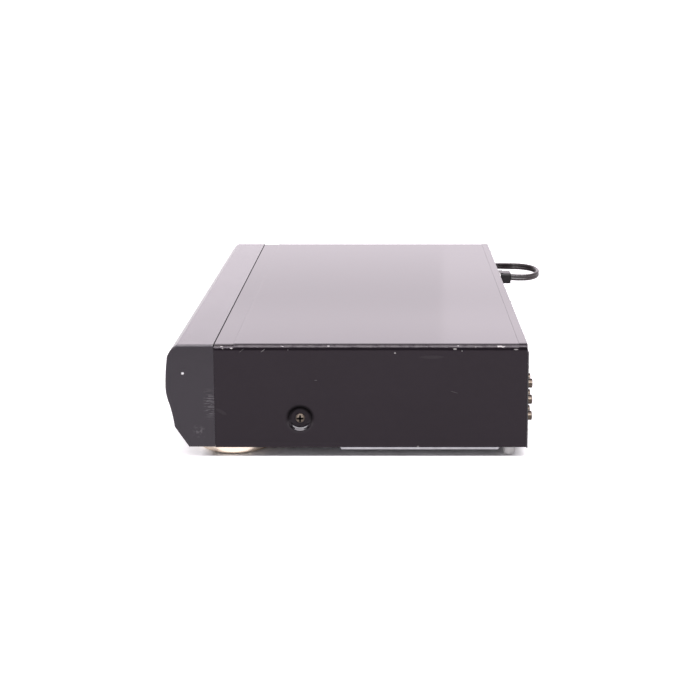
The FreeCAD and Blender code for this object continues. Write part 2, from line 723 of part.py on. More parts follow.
def screw(name, at, towards, head=4.0, height=2.2, length=6):
    """A pan head screw with a cross recess; its head stands on the given point."""
    body = doc.addObject("PartDesign::Body", name)
    outline = [(0, -length), (SCREW_SHANK, -length), (SCREW_SHANK, 0), (head, 0), (head, 0.35 * height),
               (0.82 * head, 0.8 * height), (0.48 * head, height), (0, height)]
    sketch = sketch_on(body, "XZ_Plane", f"{name}_sketch", outline)
    turn = body.newObject("PartDesign::Revolution", f"{name}_turn")
    turn.Profile = sketch
    turn.ReferenceAxis = (sketch, ["V_Axis"])
    turn.Angle = 360
    doc.recompute()
    arm, half = 0.42 * head, 0.12 * head
    cross = [(-arm, -half), (-half, -half), (-half, -arm), (half, -arm), (half, -half), (arm, -half),
             (arm, half), (half, half), (half, arm), (-half, arm), (-half, half), (-arm, half)]
    recess = body.newObject("PartDesign::Pocket", f"{name}_recess")
    recess.Profile = sketch_on(body, "XY_Plane", f"{name}_cross", cross, height)
    recess.Length = 0.6 * height
    return place(body, at, towards)


def cover_side_screws():
    depth = SIDE - cell("dish_sink")
    return group("side_screws",
                 screw("side_screw_left", (-depth, DISH_Y, DISH_Z), "-X"),
                 screw("side_screw_right", (depth, DISH_Y, DISH_Z), "+X"))


def cover_rear_screws():
    return group("rear_screws", *[
        screw(f"rear_screw_{index}", (x, COVER_END, COVER_SCREW_Z), "+Y", 2.9, 1.8, 5)
        for index, x in enumerate(COVER_SCREW_X)])


def rear_panel_screws():
    return group("panel_screws", *[
        screw(f"panel_screw_{index}", (x, REAR, z), "+Y", 2.9, 1.8, 5)
        for index, (x, z) in enumerate(PANEL_SCREWS)])


def foot_screws():
    return group("foot_screw_pair", *[
        screw(f"foot_screw_{word}", (side * FRONT_FOOT_AT[0], FRONT_FOOT_AT[1], 5), "-Z", 4, 2.2, 8)
        for side, word in ((-1, "left"), (1, "right"))])


def tube(name, outer, inner, length, at, towards="+Z"):
    return turned(name, rectangle((inner, outer), (0, length)), at, towards)


LOADER_FRONT = FRONT + 10.5
LOADER_REAR = 34
LOADER_HALF = cell("loader_half")
LOADER_INNER = LOADER_HALF - 2.5
LOADER_LOW, LOADER_TOP = 37, 79.6
DECK_LOW, DECK_TOP = 55.5, 58
DECK_REAR = -113.5
WELL_HALF = 43
LEDGE_TOP = TRAY_BOTTOM - play
RAIL_LOW = cell("mouth_low") + 0.4
HINGE_Y, HINGE_Z = 8, 50
CAM_Y = (-111.5, -108.5)
CAM_Z = (40, 56.5)
LOADER_LEGS = [(64, -108, 10), (64, 28, 6.8)]

GEAR_Y = -126
RACK_PITCH_X = -58.3
PINION_RADIUS = cell("pinion_teeth") * GEAR_MODULE / 2
DRIVE_RADIUS = cell("drive_teeth") * GEAR_MODULE / 2
FEED_RADIUS = cell("feed_teeth") * GEAR_MODULE / 2
PINION_X = RACK_PITCH_X + PINION_RADIUS
BACKLASH = 0.12
PULLEY_X = PINION_X + PINION_RADIUS + DRIVE_RADIUS + BACKLASH
MOTOR_X = 26
GEAR_Z = (62.4, 66)
PULLEY_Z = 58.6
POST_RADIUS = 1.4
BORE_RADIUS = 1.5


def loader_frame():
    """The moulded frame that carries the tray, its gears, the cam and the traverse."""
    depth = (LOADER_FRONT, LOADER_REAR)
    lower = (FRONT + 21.3, LOADER_REAR)
    rail = (-112.8, -107.2)
    across = (-LOADER_INNER - 0.1, LOADER_INNER + 0.1)
    pieces = [
        box("front_deck", across, (LOADER_FRONT, DECK_REAR), (DECK_LOW, DECK_TOP)),
        box("rear_bar", across, (22, LOADER_REAR), (46, DECK_TOP)),
        box("cam_rail", across, rail, (LOADER_LOW, CAM_Z[0] - play)),
        rod("pinion_post", POST_RADIUS, 9, (PINION_X, GEAR_Y, DECK_TOP - 0.5)),
        rod("pulley_post", POST_RADIUS, 8.5, (PULLEY_X, GEAR_Y, DECK_TOP - 0.5)),
    ]
    for side, word in ((-1, "left"), (1, "right")):
        def across_from(near, far):
            return (near, far) if side > 0 else (-far, -near)
        wall_x = across_from(LOADER_INNER, LOADER_HALF)
        pieces += [
            box(f"wall_upper_{word}", wall_x, depth, (DECK_LOW, LOADER_TOP)),
            box(f"wall_lower_{word}", wall_x, lower, (LOADER_LOW, DECK_LOW)),
            box(f"ledge_{word}", across_from(63.6, LOADER_INNER + 0.1), depth, (62, LEDGE_TOP)),
            box(f"side_deck_{word}", across_from(WELL_HALF, LOADER_INNER + 0.1), (DECK_REAR, LOADER_REAR),
                (DECK_LOW, DECK_TOP)),
            box(f"hinge_boss_{word}", across_from(WELL_HALF, WELL_HALF + 4.4), (3, 13), (45, DECK_LOW + 0.1)),
        ]
        for index, y in enumerate((-147, -62, 8)):
            pieces.append(box(f"tab_{word}_{index}", across_from(61.5, LOADER_INNER + 0.1), (y, y + 10),
                              (TRAY_TOP + 0.4, TRAY_TOP + 2.4)))
        for index, (x, y, floor) in enumerate(LOADER_LEGS):
            pieces.append(rod(f"leg_{word}_{index}", 4, 47.5 - floor if index else 38 - floor,
                              (side * x, y, floor)))
    holes = [
        rod("hinge_hole", 2.1, 100, (-50, HINGE_Y, HINGE_Z), "+X"),
        rod("motor_hole", 5, 6, (MOTOR_X, GEAR_Y, DECK_LOW - 1)),
    ]
    return cut("loader", joined("loader_solid", *pieces), *holes)


def disc_tray():
    """A thin moulded tray: two wells, a slot open to the rear, rails below and a rack on the left."""
    half = cell("tray_width") / 2
    shell = cell("tray_shell")
    well, small = cell("well_radius"), cell("small_well")
    well_floor, small_floor = TRAY_TOP - 3, TRAY_TOP - 4.5
    land = TRAY_TOP - shell
    below = TRAY_BOTTOM - 1
    at = (0, DISC_Y, below)
    plate = box("tray_plate", (-half, half), (TRAY_FRONT, TRAY_END), (TRAY_BOTTOM, TRAY_TOP))
    inside = box("tray_inside", (shell - half, half - shell), (TRAY_FRONT + shell, TRAY_END - shell), (below, land))
    hollow = cut("tray_hollow", inside, rod("well_wall", well + shell, land - below, at))
    ring = cut("ring_hollow", rod("ring_outer", well, well_floor - shell - below, at),
               rod("ring_inner", small + shell, well_floor - shell - below, at))
    centre = rod("centre_hollow", small, small_floor - shell - below, at)
    shelled = cut("tray_shelled", plate, hollow, ring, centre)
    rail_y = (TRAY_FRONT + 3, TRAY_END - 1)
    rails = [
        tray_rack(rail_y),
        box("rail_right", (59.5, 63.2), rail_y, (RAIL_LOW, land + 0.2)),
    ]
    half_slot = cell("slot_width") / 2
    wells = [
        rod("well", well, 5, (0, DISC_Y, well_floor)),
        rod("small_well", small, 5, (0, DISC_Y, small_floor)),
        rod("centre_hole", half_slot, 20, (0, DISC_Y, 60)),
        box("slot", (-half_slot, half_slot), (DISC_Y, TRAY_END + 1), (60, 80)),
    ]
    return cut("tray", joined("tray_railed", shelled, *rails), *wells)


def tray_rack(rail_y):
    """The left rail with its rack; a gap between two teeth faces the pinion when the tray is shut."""
    root_x = RACK_PITCH_X - 1.2 * GEAR_MODULE
    rail = doc.addObject("PartDesign::Body", "rail_left")
    land = TRAY_TOP - cell("tray_shell") + 0.2
    add_pad(rail, "rail_bar", "Z", rectangle((root_x - 3.7, root_x), rail_y), RAIL_LOW, land - RAIL_LOW)
    pitch = math.pi * number(GEAR_MODULE)
    ahead = int((GEAR_Y - number(rail_y[0]) - pitch) / pitch)
    behind = int((number(rail_y[1]) - GEAR_Y - pitch) / pitch)
    first = GEAR_Y + pitch * (0.5 - ahead)
    return rack("rail_tooth", rail, root_x, first, ahead + behind, RAIL_LOW + 0.1, 3.2)


def pinion():
    gear = toothed("pinion_ring", cell("pinion_teeth"), GEAR_Z[1] - GEAR_Z[0], (PINION_X, GEAR_Y, GEAR_Z[0]),
                   BORE_RADIUS)
    hub = tube("pinion_hub", 3, BORE_RADIUS, GEAR_Z[0] - DECK_TOP - 0.2, (PINION_X, GEAR_Y, DECK_TOP + 0.3))
    return joined("pinion", gear, hub)


def pulley_outline(radius, bore):
    """A grooved wheel 3.2 mm thick."""
    return [(bore, 0), (radius, 0), (radius, 0.5), (radius - 1.4, 0.8), (radius - 1.4, 2.4),
            (radius, 2.7), (radius, 3.2), (bore, 3.2)]


def pulley_gear():
    wheel = turned("pulley_wheel", pulley_outline(14, BORE_RADIUS), (PULLEY_X, GEAR_Y, PULLEY_Z))
    gear = toothed("drive_ring", cell("drive_teeth"), GEAR_Z[1] - PULLEY_Z - 3,
                   (PULLEY_X, GEAR_Y, PULLEY_Z + 3), BORE_RADIUS, 15)
    return joined("pulley", wheel, gear)


def motor_pulley():
    wheel = turned("motor_wheel", pulley_outline(4.4, 0), (MOTOR_X, GEAR_Y, PULLEY_Z))
    return joined("motor_wheel_shaft", wheel, rod("motor_shaft", 1, 10, (MOTOR_X, GEAR_Y, PULLEY_Z - 9.5)))


def loading_motor():
    outline = [(1.2, 0), (12, 0), (12, 11.6), (11.3, 12.3), (4.5, 12.3), (4.5, 14.5), (1.2, 14.5)]
    return turned("motor_can", outline, (MOTOR_X, GEAR_Y, DECK_LOW - 12.5))


def belt_outline(large, small, distance):
    """The path round two pulleys: two straight runs and two arcs."""
    lean = math.asin((large - small) / distance)
    near = (large * math.sin(lean), large * math.cos(lean))
    far = (distance + small * math.sin(lean), small * math.cos(lean))
    return [(near[0], -near[1]), ((-large, 0), near), far, ((distance + small, 0), (far[0], -far[1]))]


def drive_belt():
    distance = number(MOTOR_X - PULLEY_X)
    inner_large, inner_small, thickness = 13.0, 3.4, 1.2
    outer = padded("belt_outer", "Z", belt_outline(inner_large + thickness, inner_small + thickness, distance),
                   0, thickness)
    inner = padded("belt_inner", "Z", belt_outline(inner_large, inner_small, distance), -1, thickness + 2)
    at = (PULLEY_X, GEAR_Y, PULLEY_Z + 1)
    return cut("belt", place(outer, at), place(inner, at))


CAM_TRAVEL = 14
PIN_DROP = 8.64
CAM_PINS = (-22, 22)
PIN_Z = 52


def slide_cam():
    """The plate whose two slanted slots carry the traverse's pins up and down."""
    plate = box("cam_plate", (-42, 27), CAM_Y, CAM_Z)
    lug = box("cam_lug", (-42, -30), (CAM_Y[0], CAM_Y[1]), (CAM_Z[1] - 0.1, CAM_Z[1] + 4.5))
    slots = []
    for index, x in enumerate(CAM_PINS):
        outline = slot_outline((x, PIN_Z), (x - CAM_TRAVEL, PIN_Z - PIN_DROP), 1.9)
        slots.append(padded(f"cam_slot_{index}", "Y", outline, CAM_Y[0] - 1, 5))
    return cut("cam", joined("cam_blank", plate, lug), *slots)


def slot_outline(start, end, radius):
    """Two half circles joined by straight sides."""
    along = Vector(end[0] - start[0], end[1] - start[1], 0).normalize() * radius
    side = Vector(-along.y, along.x, 0)
    return [
        (start[0] + side.x, start[1] + side.y),
        ((start[0] - along.x, start[1] - along.y), (start[0] - side.x, start[1] - side.y)),
        (end[0] - side.x, end[1] - side.y),
        ((end[0] + along.x, end[1] + along.y), (end[0] + side.x, end[1] + side.y)),
    ]


TRAVERSE_HALF = cell("traverse_half")
TRAVERSE_Y = (-104, 14)
PLATE_Z = (52, 55)
ROD_X, ROD_Z = 18, 58
ROD_ENDS = (-71, 1)
SLED_Y = (-69, -42)
SLED_Z = (55.6, 62.6)
LENS_Y = -60
FEED_RACK_X = 24.2
FEED_X = FEED_RACK_X + FEED_RADIUS
FEED_Y = -36


def traverse_frame():
    """The swinging frame: hinged at its rear, carried by two pins in the cam at its front."""
    pieces = [
        box("traverse_plate", (-TRAVERSE_HALF, TRAVERSE_HALF), TRAVERSE_Y, PLATE_Z),
        box("traverse_nose", (-38, 38), (TRAVERSE_Y[0], TRAVERSE_Y[0] + 1.8), (48, PLATE_Z[1])),
    ]
    for side, word in ((-1, "left"), (1, "right")):
        low, high = (TRAVERSE_HALF - 1.6, TRAVERSE_HALF) if side > 0 else (-TRAVERSE_HALF, 1.6 - TRAVERSE_HALF)
        pieces.append(box(f"traverse_side_{word}", (low, high), TRAVERSE_Y, (46, PLATE_Z[1])))
        towards = "+X" if side > 0 else "-X"
        pieces.append(rod(f"hinge_pin_{word}", 2, 7.5, (side * (TRAVERSE_HALF - 1), HINGE_Y, HINGE_Z), towards))
        pieces.append(rod(f"cam_pin_{word}", 1.5, 9.5, (side * CAM_PINS[1], TRAVERSE_Y[0] + 1, PIN_Z), "-Y"))
        inner, outer = (side * 15.5, side * 20.5)
        across = (min(inner, outer), max(inner, outer))
        pieces.append(box(f"rod_end_front_{word}", across, (ROD_ENDS[0] - 2, ROD_ENDS[0]), (54.5, 60.5)))
        pieces.append(box(f"rod_end_rear_{word}", across, (ROD_ENDS[1], ROD_ENDS[1] + 2), (54.5, 60.5)))
    holes = [
        box("sled_opening", (-20, 20), (-66, -6), (50, 54.9)),
        box("sled_opening_top", (-15, 15), (-66, -6), (54, 57)),
        rod("feed_hole", 1.6, 10, (FEED_X, FEED_Y, 50)),
    ]
    return cut("traverse", joined("traverse_solid", *pieces), *holes)


def guide_rods():
    return group("rods", *[
        rod(f"rod_{word}", 1.5, ROD_ENDS[1] - ROD_ENDS[0], (x, ROD_ENDS[0], ROD_Z), "+Y")
        for x, word in ((-ROD_X, "left"), (ROD_X, "right"))])


def traverse_motors():
    spindle = tube("spindle_can", 13, 1.4, 5, (0, DISC_Y, PLATE_Z[1]))
    feed = tube("feed_can", 8, 1.2, 8.2, (FEED_X, FEED_Y, PLATE_Z[0] - 8.3))
    return group("motors", spindle, feed)


def turntable():
    """Rotor, shaft, disc platform and centring cone, turned as one outline."""
    outline = [(0, 56), (1.2, 56), (1.2, 60.5), (11, 60.5), (11, 63.5), (4, 63.5), (4, 69.5), (15, 69.5),
               (15, 71.8), (7.4, 71.8), (7.2, 73.2), (6.3, 74.3), (5, 74.8), (0, 75)]
    return turned("platform", outline, (0, DISC_Y, 0))


def pickup_sled():
    body = doc.addObject("PartDesign::Body", "sled_body")
    add_pad(body, "sled_block", "Z", rectangle((-22, 22), SLED_Y), SLED_Z[0], SLED_Z[1] - SLED_Z[0])
    root_x = FEED_RACK_X - 1.2 * GEAR_MODULE
    bar_y = (-72, -34)
    add_pad(body, "sled_bar", "Z", rectangle((21, root_x), bar_y), 57, 3.4)
    pitch = math.pi * number(GEAR_MODULE)
    ahead = int((FEED_Y - bar_y[0]) / pitch)
    first = FEED_Y + pitch * (0.5 - ahead)
    rack("sled_tooth", body, root_x, first, ahead, 57.2, 3)
    tunnels = [rod(f"rod_tunnel_{index}", 1.6, 40, (x, -75, ROD_Z), "+Y") for index, x in enumerate((-ROD_X, ROD_X))]
    belly = box("sled_belly", (-12, 12), (SLED_Y[0] + 4, SLED_Y[1] - 4), (SLED_Z[0] - 1, SLED_Z[0] + 3.5))
    waist = box("sled_waist", (-15.6, 15.6), (SLED_Y[1] - 6, SLED_Y[1] + 1), (SLED_Z[0] - 1, SLED_Z[1] + 1))
    return cut("sled", body, *tunnels, belly, waist)


def pickup_lens():
    outline = [(0, 0), (7, 0), (7, 4.7), (6.3, 5.4), (3.4, 5.4), (2.7, 6.4), (1.5, 7.1), (0, 7.3)]
    return turned("lens_turret", outline, (0, LENS_Y, SLED_Z[1]))


def feed_gear():
    gear = toothed("feed_ring", cell("feed_teeth"), 2.7, (FEED_X, FEED_Y, 57.3), 0.5, 0)
    return joined("feed", gear, rod("feed_shaft", 1, 14, (FEED_X, FEED_Y, 45)))


BRIDGE_Z = LOADER_TOP
CLAMP_HOLE = 13.2


def clamp_bridge():
    """The pressed strap over the tray that holds the clamper."""
    y = (DISC_Y - 18, DISC_Y + 18)
    half = LOADER_HALF + 1.4
    pieces = [
        box("strap", (-half, half), y, (BRIDGE_Z, BRIDGE_Z + 1.2)),
        box("strap_front_rib", (-half, half), (y[0], y[0] + 1.2), (BRIDGE_Z, BRIDGE_Z + 4)),
        box("strap_rear_rib", (-half, half), (y[1] - 1.2, y[1]), (BRIDGE_Z, BRIDGE_Z + 4)),
        box("strap_left", (-half, 1.2 - half), y, (68, BRIDGE_Z + 1.2)),
        box("strap_right", (half - 1.2, half), y, (68, BRIDGE_Z + 1.2)),
    ]
    return cut("bridge", joined("bridge_solid", *pieces), rod("clamp_hole", CLAMP_HOLE, 5, (0, DISC_Y, BRIDGE_Z - 2)))


def clamper():
    """The loose puck that hangs in the bridge and presses the disc on the turntable."""
    outline = [(0, 77.2), (8, 77.2), (8, 75.6), (16, 75.6), (16, 77), (13.6, 78.2), (12.2, 78.2), (12.2, 81.1),
               (15.2, 81.1), (15.2, 82.6), (14.4, 83.4), (0, 83.4)]
    return turned("puck", outline, (0, DISC_Y, 0))


BOARD = 1.6


def circuit_board(name, x, y, low, screw_places):
    """A board with its screw holes."""
    holes = [rod(f"{name}_hole_{index}", 1.6, BOARD + 2, (hole_x, hole_y, low - 1))
             for index, (hole_x, hole_y) in enumerate(screw_places)]
    return cut(f"{name}_blank", box(f"{name}_sheet", x, y, (low, low + BOARD)), *holes)


def power_board():
    top = POWER_BOARD_Z + BOARD
    board = circuit_board("power", (-205, -85), (-60, 60), POWER_BOARD_Z, POWER_POSTS)
    parts = [
        rod("fuse", 2.6, 21, (-190, -42, top + 4.2), "+X"),
        box("fuse_clip_a", (-189, -185), (-46, -38), (top - 0.1, top + 3)),
        box("fuse_clip_b", (-174, -170), (-46, -38), (top - 0.1, top + 3)),
        box("line_filter", (-197, -179), (8, 30), (top - 0.1, top + 16)),
        box("wire_header", (-196, -184), (40, 46), (top - 0.1, top + 8)),
        box("output_header", (-96, -90), (-30, 6), (top - 0.1, top + 8)),
    ]
    return joined("power", board, *parts)


TRANSFORMER_AT = (-150, 13)


def transformer():
    """Laminated core with two windows, and the wound bobbin on its middle leg."""
    x, y = TRANSFORMER_AT
    low = POWER_BOARD_Z + BOARD
    core = box("core", (x - 22, x + 22), (y - 8, y + 8), (low + 1, low + 37))
    windows = [box(f"core_window_{word}", (near, near + 7.5), (y - 9, y + 9), (low + 8, low + 30))
               for near, word in ((x - 15, "left"), (x + 7.5, "right"))]
    bobbin = box("bobbin", (x - 14.5, x + 14.5), (y - 15, y + 15), (low + 8.4, low + 29.6))
    wound = rounded("winding", bobbin, 3, runs_along("z"))
    feet = box("bobbin_foot", (x - 12, x + 12), (y - 15, y + 15), (low, low + 8.6))
    return joined("transformer_wound", cut("core_stamped", core, *windows), wound, feet)


CAPACITORS = [(-112, -36, 9, 26), (-134, -36, 8, 22), (-112, 40, 8, 20), (-132, 42, 5, 14), (-100, 22, 4, 11),
              (-120, 22, 4, 11)]


def capacitors():
    cans = []
    for index, (x, y, radius, height) in enumerate(CAPACITORS):
        outline = [(0, 0), (radius, 0), (radius, 1.4), (radius - 0.4, 1.9), (radius, 2.4), (radius, height - 0.6),
                   (radius - 0.6, height), (0, height)]
        cans.append(turned(f"capacitor_{index}", outline, (x, y, POWER_BOARD_Z + BOARD)))
    return group("cans", *cans)


def heat_sink():
    """An extrusion with a row of fins along one side."""
    fins, pitch, depth, base = 9, 5, 14, 3
    outline = [(0, 0)]
    for index in range(fins):
        start = index * pitch
        outline += [(start, base + depth), (start + 1.4, base + depth)]
        if index < fins - 1:
            outline += [(start + 1.4, base), (start + pitch, base)]
    outline.append(((fins - 1) * pitch + 1.4, 0))
    low = POWER_BOARD_Z + BOARD
    return place(padded("sink", "Z", outline, 0, 32), (-180, -26, low))


def main_board():
    top = MAIN_BOARD_Z + BOARD
    board = circuit_board("main", (-75, 62), (46, 142), MAIN_BOARD_Z, MAIN_POSTS)
    chips = [(-10, 92, 28, 28, 2.6), (-48, 92, 20, 14, 1.6), (-48, 70, 20, 14, 1.6), (30, 78, 18, 12, 2.2),
             (30, 104, 14, 14, 1.8), (-10, 62, 12, 5, 3.6), (-30, 132, 36, 6, 6), (30, 132, 24, 6, 6)]
    parts = [box(f"chip_{index}", (x - width / 2, x + width / 2), (y - depth / 2, y + depth / 2),
                 (top - 0.1, top + height))
             for index, (x, y, width, depth, height) in enumerate(chips)]
    return joined("main", board, *parts)


def av_board():
    top = AV_BOARD_Z + BOARD
    board = circuit_board("av", (75, 205), (70, 146), AV_BOARD_Z, AV_POSTS)
    parts = [box(f"av_chip_{index}", (x, x + 12), (92, 104), (top - 0.1, top + 1.8))
             for index, x in enumerate((90, 116, 142))]
    parts += [rod(f"av_can_{index}", 3, 8, (98 + 13 * index, 116, top - 0.1)) for index in range(7)]
    return joined("av", board, *parts)


PHONO_TIP = REAR + cell("jack_reach")


def phono_barrel(name, x, z, back):
    """The plated barrel, with the shoulder that fills its hole in the rear panel."""
    radius = cell("phono_radius")
    shoulder = REAR + 0.2 - back
    outline = [(0, -1), (radius + 0.45, -1), (radius + 0.45, shoulder), (radius, shoulder),
               (radius, PHONO_TIP - back - 0.4), (radius - 0.4, PHONO_TIP - back), (0, PHONO_TIP - back)]
    return turned(name, outline, (x, back, z), "+Y")


def phono_sockets():
    """Three rows of two phono sockets in one moulded block; each barrel passes through the rear panel."""
    inner, outer = PHONO_COLUMNS[1] - 8, PHONO_COLUMNS[0] + 8
    low = AV_BOARD_Z + BOARD
    back = REAR - skin - 0.2
    middle = (inner + outer) / 2
    block = box("phono_block", (inner, outer), (128, back), (low, 58))
    tab = box("phono_tab", (middle - 6, middle + 6), (back - 6, back), (57.9, 70))
    barrels = []
    bores = [rod("phono_screw_hole", SCREW_SHANK + 0.05, 10, (middle, back + 1, 65), "-Y")]
    for column, x in enumerate(PHONO_COLUMNS):
        for row, z in enumerate(PHONO_ROWS):
            barrels.append(phono_barrel(f"barrel_{column}{row}", x, z, back))
            bores.append(rod(f"bore_{column}{row}", 3.3, 5, (x, PHONO_TIP - 4, z), "+Y"))
            bores.append(rod(f"contact_{column}{row}", 1.7, 14, (x, PHONO_TIP - 13, z), "+Y"))
    return cut("phonos", joined("phono_solid", block, tab, *barrels), *bores)


def video_sockets():
    """The coaxial, S-video and optical outputs beside the phono block."""
    low = AV_BOARD_Z + BOARD
    back = REAR - skin - 0.2
    svideo_x, svideo_z = SVIDEO_AT
    optical_x, optical_z = OPTICAL_AT
    coax_z = PHONO_ROWS[0]
    block = box("video_block", (COAX_X - 8, COAX_X + 8), (130, back), (low, 48))
    shutter = box("optical_block", (optical_x - 5, optical_x + 5), (132, REAR + 0.8), (low, optical_z + 4.8))
    bar = box("socket_bar", (optical_x, COAX_X), (132, 138), (low, low + 4))
    coax = phono_barrel("coax_barrel", COAX_X, coax_z, back)
    ring = rod("svideo_ring", 6, REAR + 1 - back + 1, (svideo_x, back - 1, svideo_z), "+Y")
    holes = [
        rod("coax_bore", 3.3, 5, (COAX_X, PHONO_TIP - 4, coax_z), "+Y"),
        rod("coax_contact", 1.7, 14, (COAX_X, PHONO_TIP - 13, coax_z), "+Y"),
        rod("svideo_bore", 5, 9, (svideo_x, REAR - 6, svideo_z), "+Y"),
        box("optical_mouth", (optical_x - 3.2, optical_x + 3.2), (REAR - 1, REAR + 2),
            (optical_z - 3, optical_z + 3)),
    ]
    key = box("svideo_key", (svideo_x - 1.6, svideo_x + 1.6), (REAR - 6, REAR - 0.5),
              (svideo_z - 4.2, svideo_z - 2.8))
    drilled = cut("videos", joined("video_solid", block, shutter, bar, coax, ring), *holes)
    return joined("videos_keyed", drilled, key)


def eight_outline(half_width, radius):
    """Two round lobes side by side, as on a figure-of-eight mains socket."""
    offset = half_width - radius
    waist = radius * 0.8
    dip = math.sqrt(radius ** 2 - waist ** 2)
    return [(offset - dip, -waist), ((half_width, 0), (offset - dip, waist)),
            (dip - offset, waist), ((-half_width, 0), (dip - offset, -waist))]


def mains_inlet():
    x, z = INLET_AT
    body = box("inlet_body", (x - INLET_WIDTH / 2, x + INLET_WIDTH / 2), (REAR - 20.5, REAR + 0.2),
               (z - INLET_HEIGHT / 2, z + INLET_HEIGHT / 2))
    flange = box("inlet_flange", (x - 15, x + 15), (REAR + 0.2, REAR + 1.4), (z - 8, z + 8))
    recess = place(padded("inlet_recess", "Y", eight_outline(7.1, 4), REAR - 13, 16), (x, 0, z))
    tabs = [box(f"inlet_tab_{index}", (x + shift - 2, x + shift + 2), (REAR - 26, REAR - 20), (z - 0.4, z + 0.4))
            for index, shift in enumerate((-4.5, 4.5))]
    pins = [rod(f"inlet_pin_{index}", 1.2, 10, (x + shift, REAR - 13.5, z), "+Y")
            for index, shift in enumerate((-3.2, 3.2))]
    return joined("inlet", cut("inlet_shell", joined("inlet_solid", body, flange), recess), *tabs, *pins)


def board_on_edge(name, x, z, front, screw_places):
    """A board standing behind the front, with its screw holes."""
    holes = [rod(f"{name}_hole_{index}", 1.6, BOARD + 2, (hole_x, front - 1, hole_z), "+Y")
             for index, (hole_x, hole_z) in enumerate(screw_places)]
    return cut(f"{name}_drilled", box(f"{name}_sheet", x, (front, front + BOARD), z), *holes)


def control_boards():
    """The key boards with a switch behind each key stem, and the indicator lamp."""
    switches = []
    for name, x, z, *_ in KEYS:
        switches.append(box(f"{name}_switch", (x - 3, x + 3), (KEY_BOARD_Y - 3.4, KEY_BOARD_Y + 0.1), (z - 3, z + 3)))
        switches.append(rod(f"{name}_plunger", 1.7, 1.4, (x, KEY_BOARD_Y - 4.7, z), "+Y"))
    lamp = turned("lamp", [(0, 0), (1.5, 0), (1.5, 11), (1.1, 12.1), (0, 12.6)],
                  (LENS_AT[0], KEY_BOARD_Y + 0.1, LENS_AT[1]), "-Y")
    keys = board_on_edge("key_board", (84, 207), (28, 86), KEY_BOARD_Y, KEY_BOSSES[:3])
    power = board_on_edge("power_key_board", (-208, -144), (50, 88), KEY_BOARD_Y, KEY_BOSSES[3:])
    right = joined("key_board_loaded", keys, *switches[2:])
    left = joined("power_key_board_loaded", power, *switches[:2], lamp)
    return group("control_boards", left, right)


def display_board():
    return board_on_edge("display_board", (-79, 79), (32.5, 54.5), DISPLAY_BOARD_Y, DISPLAY_BOSSES)


def display_tube():
    """The flat glass tube behind the window, with its sealing stub and its pins."""
    glass = box("tube_glass", (-58, 58), (DISPLAY_BOARD_Y - 4.6, DISPLAY_BOARD_Y - 0.8), (35.5, 53))
    stub = rod("tube_stub", 1.5, 5, (57, DISPLAY_BOARD_Y - 2.7, 48), "+X")
    pins = [box(f"tube_pin_{index}", (x - 0.3, x + 0.3), (DISPLAY_BOARD_Y - 1, DISPLAY_BOARD_Y), (36.2, 36.8))
            for index, x in enumerate(range(-54, 55, 9))]
    return joined("tube", glass, stub, *pins)


CORD_RADIUS = cell("cord_width") / 2
LEAD_Y = REAR + 1.4
LEAD_END = REAR + 20


def lead_connector():
    """The socket end of the mains lead: figure-of-eight nose, two-stage moulded grip and a short collar."""
    x, z = INLET_AT
    stages = ((9, 6.5, 2.5, LEAD_Y + 0.2, LEAD_Y + 9), (8.2, 5.9, 2.2, LEAD_Y + 8.9, LEAD_END - 1.2))
    grips = []
    for index, (half_x, half_z, corner, start, end) in enumerate(stages):
        block = box(f"lead_block_{index}", (x - half_x, x + half_x), (start, end), (z - half_z, z + half_z))
        grips.append(rounded(f"lead_grip_{index}", block, corner, runs_along("y")))
    nose = padded("lead_nose", "Y", eight_outline(6.7, 3.6), LEAD_Y - 2.8, 3.2)
    collar = [(0, 0), (5.2, 0), (4.8, 0.7), (CORD_RADIUS, 1.3), (0, 1.3)]
    relief = turned("lead_relief", collar, (x, LEAD_END - 1.3, z), "+Y")
    return joined("lead", *grips, place(nose, (x, 0, z)), relief)


CORD_ROUTE = [
    (-140, 186.5, 76), (-149.5, 199.6, 76.3), (-164.9, 204.6, 76.9), (-180.3, 199.6, 77.4), (-189.8, 186.5, 77.5),
    (-195.5, 172, 76.5), (-208, 162.5, 74), (-227, 153, 69.5), (-235, 137.5, 61), (-238.5, 116, 49),
    (-239, 94, 36.3), (-238.2, 72, 24), (-237.4, 52, 15.3), (-237, 35, 12.2),
]
COIL_ENTRY = (-237, 20)
COIL_TURNS, COIL_TURN_OF_CLIMB = 5, 0.25
COIL_LEVELS = (12.2, 4.3)
TAIL_ROUTE = [(-237, -10, 4.3), (-239.5, -26, 5.5)]
PLUG_FACE = (-239.5, -42, 5.5)


def tangent_path(name, points):
    """Straight runs joined by tangent arcs as large as the runs allow."""
    points = [Vector(*map(number, point)) for point in points]
    edges = []
    start = points[0]
    radii = []
    for before, corner, after in zip(points, points[1:], points[2:]):
        arriving, leaving = (corner - before), (after - corner)
        shorter = min(arriving.Length, leaving.Length)
        half_turn = arriving.getAngle(leaving) / 2
        radius = 0.45 * shorter / math.tan(half_turn)
        radii.append(round(radius, 1))
        enter = corner - arriving.normalize() * (0.45 * shorter)
        leave = corner + leaving.normalize() * (0.45 * shorter)
        edges.append(Part.LineSegment(start, enter).toShape())
        edges.append(corner_arc(enter, corner, leave))
        start = leave
    edges.append(Part.LineSegment(start, points[-1]).toShape())
    print(f"{name}: bend radii {radii} mm")
    return edges


def corner_arc(enter, corner, leave):
    """The arc that leaves one straight run and joins the next, both the same length from the corner."""
    middle = (enter + leave) / 2
    half_chord = (leave - enter).Length / 2
    rise = (corner - middle).Length
    turn = math.atan2(rise, half_chord)
    crown = middle + (corner - middle) * (math.tan(turn / 2) / math.tan(turn))
    return Part.Arc(enter, crown, leave).toShape()


